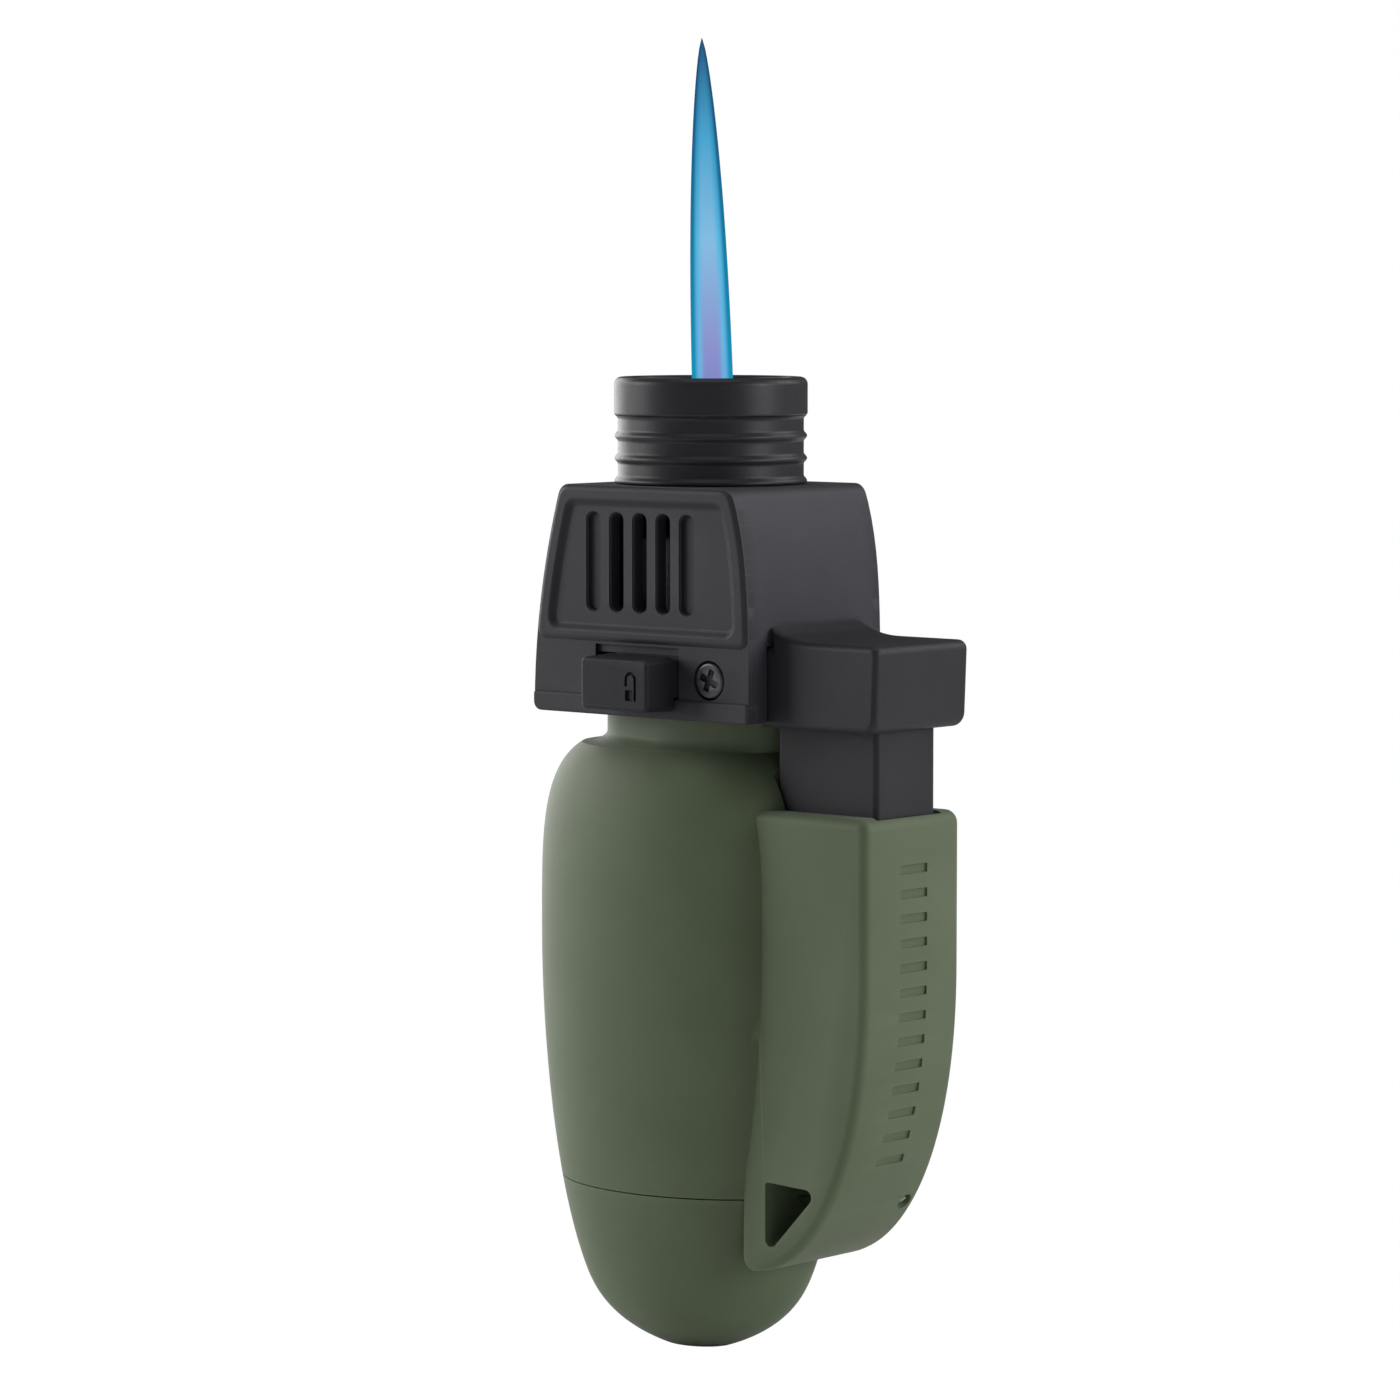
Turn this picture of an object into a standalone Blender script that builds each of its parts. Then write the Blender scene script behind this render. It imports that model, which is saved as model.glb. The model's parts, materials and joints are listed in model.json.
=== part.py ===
"""Refillable pocket jet-flame lighter: fuel tank, side trigger, piezo igniter and ribbed nozzle.

Frame: +Z up, +X from the tank towards the trigger, Y across the thickness. The origin is under the
middle of the whole object, on the level of its lowest point.
Every size here is in millimetres, sideways from the axis of the nozzle and upwards from the tip of
the rounded nose, before the flat foot cuts it off; add() turns it into metres and hangs the piece
on an empty that stands on that axis.
"""

import math

import bmesh
import bpy
from mathutils import Matrix, Vector

MM = 0.001
GAP = 0.3  # clearance between neighbouring pieces

# ---- driving sizes -------------------------------------------------------------------------------
TANK_HALF_LENGTH = 17.8
TANK_FLATNESS = 1.3  # length over thickness of the oval tank
TANK_X = -1.65
TANK_WIDEST_Z = 42.5
TANK_TOP_Z = 64.0
TANK_WALL = 1.5
NOSE_Z = 9.0  # below this the tank rounds off into its nose
FOOT_Z = 0.85  # where the flat foot cuts the nose
SEAM_Z = 17.9
SPIGOT_Z = (15.0, 19.8)
SPIGOT_INSET = 1.75  # from the tank's outside to the spigot's
BASE_WALL = 2.9

NECK_HALF_LENGTH = 12.2
NECK_HALF_WIDTH = 8.0
NECK_TOP_Z = 67.9
VALVE_BORE = 4.2
FUEL_LEVELS = (12, 22, 31, 42.5, 51, 56.5, 59.5)  # heights that shape the fuel space

HOUSING_HALF_WIDTH = 7.5
HOUSING_REACH = 26.6
HOUSING_TOP_Z = 57.15
HOUSING_FOOT_X = 10.35
HOUSING_FOOT_Z = 10.6
HOUSING_CURVE_Z = 42.0  # where the straight back starts to curve towards the foot
HOUSING_CURVE = 2.2  # exponent of that curve: 2 would be an ellipse

TRIGGER_REACH = 27.8
TRIGGER_HALF_WIDTH = 7.25
TRIGGER_BACK_X = 12.7
CAP_BOTTOM_Z = 65.5
CAP_TOP_Z = 74.2
SCOOP_TOP_Z = 77.2
SCOOP_X = (13.0, 19.5)
CAP_LIP_X = 14.1  # above the head's opening the cap stands just outside the head's end wall
OPENING_TOP_Z = 73.6
FINGER_Y = (1.7, 3.8)  # the finger reaches from the cap into the head, above the valve lever
FINGER_Z = (74.3, 75.15)
STEM_REACH = 25.7
STEM_HALF_WIDTH = 4.6
STEM_BOTTOM_Z = 50.0
WELL_BOTTOM_Z = 44.4

HEAD_BOTTOM_Z = 66.0
HEAD_TOP_Z = 89.2
HEAD_LEFT = 14.9
HEAD_LEFT_SLOPE = 3.7
HEAD_RIGHT = 13.85
HEAD_RIGHT_SLOPE = 2.3
HEAD_WALL = 1.7
HOLLOW_Z = (67.4, 87.6)

COVER_INNER_Y = 8.65
COVER_PANEL_Y = 9.9
COVER_FACE_Y = 10.6
FRAME_WIDTH = 2.35  # of the raised border round each cover's panel
PANEL_Z = (74.85, 86.95)
FRAME_FOOT_Z = 73.3
LIP_TOP_Z = 68.0
SLOT_PITCH = 3.12
SLOT_MIDDLE_X = -0.87
SLOT_HALF_WIDTH = 0.85
SLOT_Z = (76.5, 86.4)
GROOVE_Y = 9.25  # how deep the outermost slots are cut: they don't go through
WINDOW_X = (-6.5, 4.7)
WINDOW_Z = (68.0, 73.2)
SCREW_X = 8.7
SCREW_Z = 70.12
SCREW_HEAD_RADIUS = 1.8
SCREW_HEAD_Y = (9.7, 10.35)
SCREW_SHANK_RADIUS = 0.8
SCREW_SHANK_Y = (6.9, 10.0)
SCREW_RECESS_RADIUS = 2.1
SCREW_RECESS_Y = 9.4
BOSS_RADIUS = 1.6
BOSS_INNER_Y = 6.6

NOZZLE_RADIUS = 9.83
NOZZLE_BORE = 8.3
NOZZLE_SPIGOT = 7.6
NOZZLE_SPIGOT_Z = 86.6
NOZZLE_SEAT_BORE = 6.9  # the bore narrows to this below NOZZLE_SEAT_Z
NOZZLE_SEAT_Z = 91.0
NOZZLE_TOP_Z = 100.0
RIM_HEIGHT = 4.0
RIBS = 3
RIB_CREST = 0.12  # how far the ribs' crests and valleys lie inside the rim's radius
RIB_VALLEY = 0.38

BURNER_RADIUS = 3.4
BURNER_BORE = 2.9
BURNER_Z = (76.0, 94.3)
AIR_HOLE_RADIUS = 0.9
AIR_HOLE_Z = 81.6
HOLDER_RADIUS = 2.6
HOLDER_Z = (91.6, 92.6)
GAS_HOLES = 6
GAS_HOLE_RADIUS = 0.42
GAS_HOLE_CIRCLE = 1.6
BRACKET_X = (-4.6, 7.6)
BRACKET_HALF_WIDTH = 6.2
BRACKET_Z = (68.3, 83.6)
SHEET = 0.8

LEVER_PIVOT_X = 4.4
LEVER_PIVOT_Z = 71.4
LEVER_HALF_WIDTH = 4.4
FORK_HALF_WIDTH = 1.3  # inside the lever's fork
HUB_RADIUS = 1.3
LEVER_PIN_RADIUS = 0.6

PIN_X = 20.3
PIN_Z = 17.95
PIN_RADIUS = 0.42
PIN_Y = (2.8, 6.8)
PIN_STUB = 0.85  # how far the pin's stub stands out along the cord hole
CORD_HOLE_Y = 5.4
CORD_HOLE_LEAN = math.radians(132)  # from straight up, about Y

PIEZO_X = 17.65
PIEZO_HALF = 3.85
PIEZO_Z = (22.6, 40.0)
LEAD_X = 13.1
WELL_WALL_X = 11.1  # the fuel space ends here, and the igniter's well starts behind it
INSULATOR_X = 5.6
INSULATOR_RADIUS = 1.0
INSULATOR_Z = (81.0, 91.0)

KNOB_ROOT_Y = -10.9
KNOB_FACE_Y = -14.7
LOCK_FOOT = ((-7.2, 6.5), (-8.35, -7.6), (68.2, 74.0))  # the slider's foot, behind the cover
LOCK_NECK = ((-4.25, 4.45), (-11.3, -8.0), (68.3, 71.9))

THROUGH = 20.0  # half length of a cutter that goes right through

# The axis of the nozzle stands this far from the middle of the whole object.
AXIS_X = (TANK_HALF_LENGTH - TANK_X - TRIGGER_REACH) / 2
AXIS = "nozzle_axis"


# ---- scene, materials and objects ----------------------------------------------------------------
def clear_scene():
    for obj in list(bpy.data.objects):
        bpy.data.objects.remove(obj)


def finish(name, colour, roughness, metallic=0.0):
    """A Principled material of one linear colour."""
    material = bpy.data.materials.new(name)
    material.use_nodes = True
    shader = material.node_tree.nodes["Principled BSDF"]
    shader.inputs["Base Color"].default_value = (*colour, 1.0)
    shader.inputs["Roughness"].default_value = roughness
    shader.inputs["Metallic"].default_value = metallic
    return material


def make_finishes():
    return {
        "green": finish("green_polymer", (0.084, 0.107, 0.072), 0.55),
        "black": finish("black_polymer", (0.045, 0.044, 0.051), 0.5),
        "nozzle": finish("black_coated_zinc", (0.035, 0.035, 0.038), 0.4),
        "brass": finish("brass", (0.60, 0.42, 0.16), 0.3, 1.0),
        "steel": finish("steel", (0.55, 0.55, 0.56), 0.3, 1.0),
        "dark_steel": finish("blackened_steel", (0.10, 0.10, 0.11), 0.4, 1.0),
        "ceramic": finish("ceramic", (0.80, 0.78, 0.72), 0.4),
        "rubber": finish("rubber", (0.02, 0.02, 0.02), 0.7),
        "silicone": finish("silicone", (0.70, 0.70, 0.68), 0.5),
        "white": finish("white_polymer", (0.75, 0.75, 0.72), 0.5),
        "wire": finish("wire_sleeve", (0.30, 0.03, 0.03), 0.5),
    }


def add(name, shape, material, origin=(0.0, 0.0, 0.0)):
    """Makes an object of a bmesh in millimetres, with its origin at the given point of the frame."""
    bmesh.ops.translate(shape, verts=shape.verts, vec=-Vector(origin))
    bmesh.ops.scale(shape, verts=shape.verts, vec=(MM, MM, MM))
    bmesh.ops.recalc_face_normals(shape, faces=shape.faces)
    mesh = bpy.data.meshes.new(name)
    shape.to_mesh(mesh)
    shape.free()
    mesh.shade_smooth()
    mesh.set_sharp_from_angle(angle=math.radians(35))
    mesh.materials.append(material)
    obj = bpy.data.objects.new(name, mesh)
    bpy.context.scene.collection.objects.link(obj)
    obj.parent = bpy.data.objects[AXIS]
    obj.location = Vector(origin) * MM
    return obj


def helper(obj):
    obj.hide_render = True
    obj.display_type = "WIRE"
    return obj


def combine_objects(obj, operation, other):
    """Gives obj a live Boolean with another object."""
    modifier = obj.modifiers.new(operation.title(), "BOOLEAN")
    modifier.operation = operation
    modifier.solver = "EXACT"
    modifier.object = other


def combine(obj, operation, shapes, bevel=0.0):
    """Cuts each shape from obj, or joins it on."""
    for shape in shapes:
        label = f"{obj.name}_{operation.lower()}_{len(obj.modifiers)}"
        other = helper(add(label, shape, obj.data.materials[0]))
        if bevel:
            soften(other, bevel)
        combine_objects(obj, operation, other)
    return obj


def cut(obj, *shapes):
    return combine(obj, "DIFFERENCE", shapes)


def join(obj, *shapes, bevel=0.0):
    return combine(obj, "UNION", shapes, bevel)


def soften(obj, width, segments=3):
    """Rounds the sharp edges of an object."""
    modifier = obj.modifiers.new("Bevel", "BEVEL")
    modifier.width = width * MM
    modifier.segments = segments
    modifier.limit_method = "ANGLE"
    modifier.angle_limit = math.radians(40)
    return obj


# ---- shapes, all in millimetres ------------------------------------------------------------------
def loft(rings):
    """A closed skin through rings of equally many points, capped at both ends."""
    shape = bmesh.new()
    rows = [[shape.verts.new(point) for point in ring] for ring in rings]
    for low, high in zip(rows, rows[1:]):
        for i, vertex in enumerate(low):
            j = (i + 1) % len(low)
            shape.faces.new((vertex, low[j], high[j], high[i]))
    shape.faces.new(reversed(rows[0]))
    shape.faces.new(rows[-1])
    return shape


def box(x, y, z):
    low, high = ([(x[a], y[b], level) for a, b in ((0, 0), (1, 0), (1, 1), (0, 1))] for level in z)
    return loft([low, high])


def prism(outline, y):
    """Extrudes an outline of (x, z) points from y[0] to y[1]."""
    return loft([[(px, level, pz) for px, pz in outline] for level in y])


def oval_ring(half_length, half_width, z, x=TANK_X, steps=44):
    turns = (2 * math.pi * i / steps for i in range(steps))
    return [(x + half_length * math.cos(a), half_width * math.sin(a), z) for a in turns]


def turned(profile, x=0.0, y=0.0, steps=24):
    """Turns a profile of (radius, z) about a vertical axis and caps its two ends."""
    turns = [2 * math.pi * i / steps for i in range(steps)]
    return loft(
        [[(x + r * math.cos(a), y + r * math.sin(a), z) for a in turns] for r, z in profile]
    )


def turned_ring(profile, x=0.0, steps=24):
    """Turns a closed profile of (radius, z) about a vertical axis: a body with a hole."""
    shape = turned([*profile, profile[0]], x, steps=steps)
    caps = [face for face in shape.faces if len(face.verts) == steps]
    bmesh.ops.delete(shape, geom=caps, context="FACES_ONLY")
    bmesh.ops.remove_doubles(shape, verts=shape.verts, dist=0.001)
    return shape


def rod(radius, z, x=0.0, y=0.0, steps=20):
    return turned([(radius, z[0]), (radius, z[1])], x, y, steps)


def ring(inner, outer, z, x=0.0, steps=24):
    profile = [(outer, z[0]), (outer, z[1]), (inner, z[1]), (inner, z[0])]
    return turned_ring(profile, x, steps)


def cross_rod(radius, y, x, z, steps=16):
    """A round bar along Y."""
    turns = [2 * math.pi * i / steps for i in range(steps)]
    outline = [(x + radius * math.cos(a), z + radius * math.sin(a)) for a in turns]
    return prism(outline, y)


def swept(points, radius, sides=8):
    """A round wire along a path that stays in one plane of constant Y, or is a coil about Z."""
    shape_rings = []
    for i, point in enumerate(points):
        before, after = points[max(i - 1, 0)], points[min(i + 1, len(points) - 1)]
        along = (Vector(after) - Vector(before)).normalized()
        across = along.cross(Vector((0, 1, 0)) if abs(along.y) < 0.9 else Vector((0, 0, 1)))
        across.normalize()
        other = along.cross(across)
        turns = (2 * math.pi * k / sides for k in range(sides))
        shape_rings.append(
            [Vector(point) + radius * (math.cos(a) * across + math.sin(a) * other) for a in turns]
        )
    return loft(shape_rings)


def coil(radius, wire, z, turns, x=0.0, steps=10, sides=5):
    """A compression spring about a vertical axis."""
    rings = []
    count = turns * steps
    for i in range(count + 1):
        a = 2 * math.pi * i / steps
        level = z[0] + wire + (z[1] - z[0] - 2 * wire) * i / count
        out = Vector((math.cos(a), math.sin(a), 0))
        middle = Vector((x, 0, level)) + radius * out
        angles = (2 * math.pi * k / sides for k in range(sides))
        rings.append(
            [middle + wire * (math.cos(b) * out + math.sin(b) * Vector((0, 0, 1))) for b in angles]
        )
    return loft(rings)


def smooth_path(points, per_span=4):
    """Catmull-Rom points through a few chosen ones."""
    vectors = [Vector(p) for p in (points[0], *points, points[-1])]
    path = []
    for a, b, c, d in zip(vectors, vectors[1:], vectors[2:], vectors[3:]):
        for k in range(per_span):
            t = k / per_span
            path.append(
                0.5
                * (2 * b + (c - a) * t + (2 * a - 5 * b + 4 * c - d) * t**2
                   + (3 * b - a - 3 * c + d) * t**3)
            )
    return [*path, vectors[-1]]


# ---- tank ----------------------------------------------------------------------------------------
def tank_share(z):
    """The tank's half length at a height, as a share of its greatest one."""
    if z > TANK_WIDEST_Z:
        return (1 - ((z - TANK_WIDEST_Z) / (TANK_TOP_Z - TANK_WIDEST_Z)) ** 4) ** 0.21
    share = (1 - ((TANK_WIDEST_Z - z) / TANK_WIDEST_Z) ** 1.8) ** 0.29
    if z < NOSE_Z:
        share *= (1 - (1 - z / NOSE_Z) ** 3.2) ** 0.42
    return share


def tank_rings(levels, grow=0.0):
    """The tank's ovals at the given heights, grown or shrunk all round."""
    rings = []
    for z in levels:
        half = TANK_HALF_LENGTH * tank_share(z)
        rings.append(oval_ring(half + grow, half / TANK_FLATNESS + grow, z))
    return rings


def nose_levels(top, count):
    """Heights from the foot up to top, closer together where the nose turns fast."""
    return [FOOT_Z + (top - FOOT_Z) * (i / count) ** 1.8 for i in range(count + 1)]


def housing_outline():
    """The trigger housing seen from the side: a straight back that curves round to the foot."""
    count = 16
    half_x = HOUSING_REACH - HOUSING_FOOT_X
    half_z = HOUSING_CURVE_Z - HOUSING_FOOT_Z
    turns = (math.pi / 2 * i / count for i in range(count + 1))
    power = 2 / HOUSING_CURVE
    curve = [
        (
            HOUSING_FOOT_X + half_x * max(math.cos(a), 0) ** power,
            HOUSING_CURVE_Z - half_z * math.sin(a) ** power,
        )
        for a in turns
    ]
    top = [(0.0, HOUSING_TOP_Z), (HOUSING_REACH, HOUSING_TOP_Z)]
    return [*top, *curve, (HOUSING_FOOT_X, 20.0), (0.0, 24.0)]


def lanyard_window():
    """The three-cornered window in the foot of the housing, with rounded corners."""
    low = [(13.7, 13.7), (13.9, 13.3), (14.3, 13.2), (14.7, 13.45)]
    right = [(19.75, 18.75), (19.95, 19.2), (19.8, 19.65), (19.3, 19.85)]
    return [*low, *right, (13.7, 20.0)]


def cord_hole():
    """A small oval hole from the curved back through to the window, near the rear side."""
    turns = [2 * math.pi * i / 12 for i in range(12)]
    shape = loft([[(math.cos(a), 0.8 * math.sin(a), z) for a in turns] for z in (-1.5, 2.4)])
    lean = Matrix.Rotation(CORD_HOLE_LEAN, 3, "Y")
    bmesh.ops.rotate(shape, verts=shape.verts, cent=(0, 0, 0), matrix=lean)
    bmesh.ops.translate(shape, verts=shape.verts, vec=(PIN_X, CORD_HOLE_Y, PIN_Z))
    return shape


def make_lanyard_pin(finishes):
    """A steel pin across the lanyard window, with a stub in the cord hole that a cord loops over."""
    pin = add("lanyard_pin", cross_rod(PIN_RADIUS, PIN_Y, PIN_X, PIN_Z, 12), finishes["steel"])
    tip = (
        PIN_X + PIN_STUB * math.sin(CORD_HOLE_LEAN),
        CORD_HOLE_Y,
        PIN_Z + PIN_STUB * math.cos(CORD_HOLE_LEAN),
    )
    join(pin, swept([(PIN_X, CORD_HOLE_Y, PIN_Z), tip], PIN_RADIUS - 0.03, 10))


def make_tank_shell(finishes):
    green = finishes["green"]
    levels = [SEAM_Z - 1, 22, 26, 31, 36.5, 42.5, 47, 51, 54, 56.5, 58.5, 60.2, 61.6, 62.6, 63.3]
    shell = add("tank_shell", loft(tank_rings(levels)), green)
    neck = [oval_ring(NECK_HALF_LENGTH, NECK_HALF_WIDTH, z, x=0.0) for z in (60.0, NECK_TOP_Z)]
    join(shell, loft(neck))
    half = HOUSING_HALF_WIDTH
    join(shell, prism(housing_outline(), (-half, half)), bevel=0.95)
    # The base pushes in from below, and the fuel space stops short of the igniter's well.
    base_room = loft(tank_rings([0, *nose_levels(SEAM_Z, 8)[1:]], GAP))
    fuel = loft(tank_rings(FUEL_LEVELS, -TANK_WALL))
    fuel = helper(add("fuel_space", fuel, green))
    cut(fuel, box((WELL_WALL_X, 40), (-THROUGH, THROUGH), (0, 80)))
    cut(shell, base_room)
    combine_objects(shell, "DIFFERENCE", fuel)
    well = STEM_HALF_WIDTH + 0.25
    pocket = PIEZO_HALF + GAP
    cut(
        shell,
        rod(VALVE_BORE, (55, NECK_TOP_Z + 1)),
        box((TRIGGER_BACK_X - 0.25, STEM_REACH + 0.2), (-well, well), (WELL_BOTTOM_Z, 75)),
        box((12.6, PIEZO_X + pocket), (-pocket, pocket), (22.0, 50)),
        prism(lanyard_window(), (-12, 12)),
        cord_hole(),
        cross_rod(0.55, (2.6, 9.0), PIN_X, PIN_Z, 12),
    )


def make_tank_base(finishes):
    green = finishes["green"]
    base = add("tank_base", loft(tank_rings(nose_levels(SEAM_Z - GAP, 14))), green)
    spigot = loft(tank_rings(SPIGOT_Z, -SPIGOT_INSET))
    spigot = helper(add("spigot", spigot, green))
    cut(spigot, box((WELL_WALL_X - 0.2, 40), (-THROUGH, THROUGH), (0, 80)))
    combine_objects(base, "UNION", spigot)
    space = helper(add("base_space", loft(tank_rings((4.2, 6, 9, 13, 19, 24), -BASE_WALL)), green))
    cut(space, box((9.6, 40), (-THROUGH, THROUGH), (14.8, 80)))
    combine_objects(base, "DIFFERENCE", space)
    cut(base, rod(2.6, (-1, 2.5), TANK_X), rod(1.45, (0, 6), TANK_X))


def make_fuel_fittings(finishes):
    add("fill_valve_body", ring(0.75, 1.2, (1.0, 10.0), TANK_X, 16), finishes["brass"])
    # The filler needle pushes the stem in from below.
    stem = [(0.35, 1.1), (0.35, 4.6), (0.6, 4.6), (0.6, 5.3), (0.35, 5.3), (0.35, 7.6)]
    add("fill_valve_stem", turned(stem, TANK_X, steps=12), finishes["brass"], (TANK_X, 0, 1.1))
    spring = coil(0.53, 0.09, (5.5, 9.6), 6, TANK_X, 8, 4)
    add("fill_valve_spring", spring, finishes["steel"])
    add("fill_valve_o_ring", ring(1.35, 1.95, (4.4, 5.0), TANK_X, 16), finishes["rubber"])
    add("regulator_housing", ring(1.5, 3.4, (5.4, 8.4), TANK_X, 20), finishes["brass"])
    face_z = FOOT_Z + 0.15
    adjuster = ring(1.5, 2.35, (face_z, 2.3), TANK_X, 24)
    adjuster = add("flame_adjuster", adjuster, finishes["black"], (TANK_X, 0, face_z))
    cut(adjuster, box((TANK_X - 0.3, TANK_X + 0.3), (1.2, 3.0), (0, face_z + 0.6)))
    route = [(-4.6, 0, 8.7), (-4.6, 0, 20), (-3.0, 0, 40), (-0.6, 0, 52), (0, 0, 56.6)]
    add("feed_tube", swept(smooth_path(route, 3), 0.8, 8), finishes["silicone"])


# ---- gas valve and burner ------------------------------------------------------------------------
def make_gas_valve(finishes):
    # The body is a tube with a flange on top, and the stem has a collar that the lever lifts.
    body = [(1.3, 57.0), (3.3, 57.0), (3.3, 69.2), (4.3, 69.2), (4.3, 69.8), (1.3, 69.8)]
    add("gas_valve_body", turned_ring(body, steps=20), finishes["brass"])
    stem = [(0.95, 58.5), (0.95, 72.25), (1.9, 72.25), (1.9, 72.9), (0.95, 72.9), (0.95, 73.7)]
    add("gas_valve_stem", turned(stem, steps=16), finishes["brass"], (0, 0, 58.5))
    add("gas_valve_spring", coil(2.35, 0.22, (73.05, 75.3), 3, 0, 12, 5), finishes["steel"])
    add("gas_valve_o_ring", ring(3.45, 4.05, (63.0, 63.7)), finishes["rubber"])
    add("gas_tube", ring(1.2, 1.55, (73.2, 75.9), steps=14), finishes["silicone"])
    nozzle = [(1.5, 76.2), (1.5, 77.6), (2.6, 77.6), (2.6, 79.4), (0.8, 80.6)]
    add("jet_nozzle", turned(nozzle, steps=16), finishes["brass"])


def make_lever(finishes):
    """A see-saw: the trigger's finger presses its outer end, and its fork lifts the valve stem."""
    pivot = (LEVER_PIVOT_X, 0, LEVER_PIVOT_Z)
    # The outer arm is cranked down, to stay below the finger through the trigger's whole travel.
    drops = [
        (-1.7, 0.3), (-1.7, -0.3), (LEVER_PIVOT_X, -0.3), (7.2, -1.75), (9.6, -2.3),
        (9.6, -1.8), (7.8, -1.6), (5.4, -0.3), (LEVER_PIVOT_X, 0.3),
    ]
    side = [(x, LEVER_PIVOT_Z + drop) for x, drop in drops]
    lever = add("valve_lever", prism(side, (-LEVER_HALF_WIDTH, LEVER_HALF_WIDTH)), finishes["steel"], pivot)
    hub_y = (-LEVER_HALF_WIDTH, LEVER_HALF_WIDTH)
    join(lever, cross_rod(HUB_RADIUS, hub_y, LEVER_PIVOT_X, LEVER_PIVOT_Z, 12))
    cut(
        lever,
        box((-3, 1.6), (-FORK_HALF_WIDTH, FORK_HALF_WIDTH), (60, 80)),
        cross_rod(LEVER_PIN_RADIUS + 0.15, (-6, 6), LEVER_PIVOT_X, LEVER_PIVOT_Z, 12),
    )
    pin = cross_rod(LEVER_PIN_RADIUS, (-6.5, 6.5), LEVER_PIVOT_X, LEVER_PIVOT_Z, 12)
    add("lever_pin", pin, finishes["steel"])


def make_burner(finishes):
    bracket = add(
        "burner_bracket",
        box(BRACKET_X, (-BRACKET_HALF_WIDTH, BRACKET_HALF_WIDTH), BRACKET_Z),
        finishes["steel"],
    )
    inner = BRACKET_HALF_WIDTH - SHEET
    cut(
        bracket,
        box((-10, THROUGH), (-inner, inner), (BRACKET_Z[0] + SHEET, BRACKET_Z[1] - SHEET)),
        rod(3.6, (60, 75)),
        box((5.0, THROUGH), (-LEVER_HALF_WIDTH - GAP, LEVER_HALF_WIDTH + GAP), (60, 70)),
        rod(BURNER_RADIUS + GAP, (80, 90)),
        rod(INSULATOR_RADIUS + GAP, (80, 90), INSULATOR_X, steps=16),
        cross_rod(LEVER_PIN_RADIUS + 0.2, (-9, 9), LEVER_PIVOT_X, LEVER_PIVOT_Z, 12),
    )
    tube = add("burner_tube", ring(BURNER_BORE, BURNER_RADIUS, BURNER_Z, steps=28), finishes["dark_steel"])
    cut(tube, cross_rod(AIR_HOLE_RADIUS, (-5, 5), 0, AIR_HOLE_Z, 12))
    holder = add("flame_holder", rod(HOLDER_RADIUS, HOLDER_Z, steps=24), finishes["ceramic"])
    for i in range(GAS_HOLES):
        a = 2 * math.pi * i / GAS_HOLES
        x, y = GAS_HOLE_CIRCLE * math.cos(a), GAS_HOLE_CIRCLE * math.sin(a)
        cut(holder, rod(GAS_HOLE_RADIUS, (90, 94), x, y, 8))
    insulator = rod(INSULATOR_RADIUS, INSULATOR_Z, INSULATOR_X, steps=16)
    add("insulator", insulator, finishes["ceramic"])
    tip = [(INSULATOR_X, 0, 91.3), (INSULATOR_X, 0, 93.2), (5.3, 0, 94.1), (4.5, 0, 94.4), (3.9, 0, 94.5)]
    add("electrode", swept(tip, 0.3, 6), finishes["steel"])
    route = [
        (LEAD_X, 0, 22.4 + GAP), (LEAD_X, 0, 45), (LEAD_X, 0, 62), (12.9, 0, 67),
        (11.6, 0, 71.5), (9.4, 0, 75.5), (7.0, 0, 78.8), (INSULATOR_X, 0, 80.7),
    ]
    add("ignition_lead", swept(smooth_path(route), 0.32, 8), finishes["wire"])


def make_nozzle(finishes):
    """The ribbed shield: a plain rim, then rounded ribs over a spigot that drops into the head."""
    base = HEAD_TOP_Z + GAP
    outer = [(NOZZLE_SPIGOT, NOZZLE_SPIGOT_Z), (NOZZLE_SPIGOT, base), (NOZZLE_RADIUS + 0.05, base)]
    rim_foot = NOZZLE_TOP_Z - RIM_HEIGHT
    pitch = (rim_foot - base) / RIBS
    crest, valley = NOZZLE_RADIUS - RIB_CREST, NOZZLE_RADIUS - RIB_VALLEY
    for i in range(RIBS):
        foot = base + pitch * i
        outer += [
            (crest, foot + 0.22 * pitch), (valley, foot + 0.42 * pitch), (valley, foot + 0.82 * pitch),
        ]
        if i < RIBS - 1:
            outer.append((crest, foot + pitch))
    outer += [
        (NOZZLE_RADIUS - 0.1, rim_foot),
        (NOZZLE_RADIUS, rim_foot + 0.25),
        (NOZZLE_RADIUS, NOZZLE_TOP_Z - 0.8),
        (NOZZLE_RADIUS - 0.25, NOZZLE_TOP_Z - 0.25),
        (NOZZLE_RADIUS - 0.8, NOZZLE_TOP_Z),
    ]
    inner = [
        (NOZZLE_BORE, NOZZLE_TOP_Z), (NOZZLE_BORE, NOZZLE_SEAT_Z),
        (NOZZLE_SEAT_BORE, NOZZLE_SEAT_Z), (NOZZLE_SEAT_BORE, NOZZLE_SPIGOT_Z),
    ]
    add("nozzle_shield", turned_ring(outer + inner, steps=48), finishes["nozzle"])


# ---- head ----------------------------------------------------------------------------------------
def head_share(z):
    return (z - HEAD_BOTTOM_Z) / (HEAD_TOP_Z - HEAD_BOTTOM_Z)


def head_left(z):
    return -HEAD_LEFT + HEAD_LEFT_SLOPE * head_share(z) ** 2


def head_right(z):
    return HEAD_RIGHT - HEAD_RIGHT_SLOPE * head_share(z) ** 4


def head_outline(inset, z, count=9):
    """The head seen from the side, set in from its two sloping ends, between two heights."""
    levels = [z[0] + (z[1] - z[0]) * i / (count - 1) for i in range(count)]
    right = [(head_right(level) - inset, level) for level in levels]
    left = [(head_left(level) + inset, level) for level in reversed(levels)]
    return right + left


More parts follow.
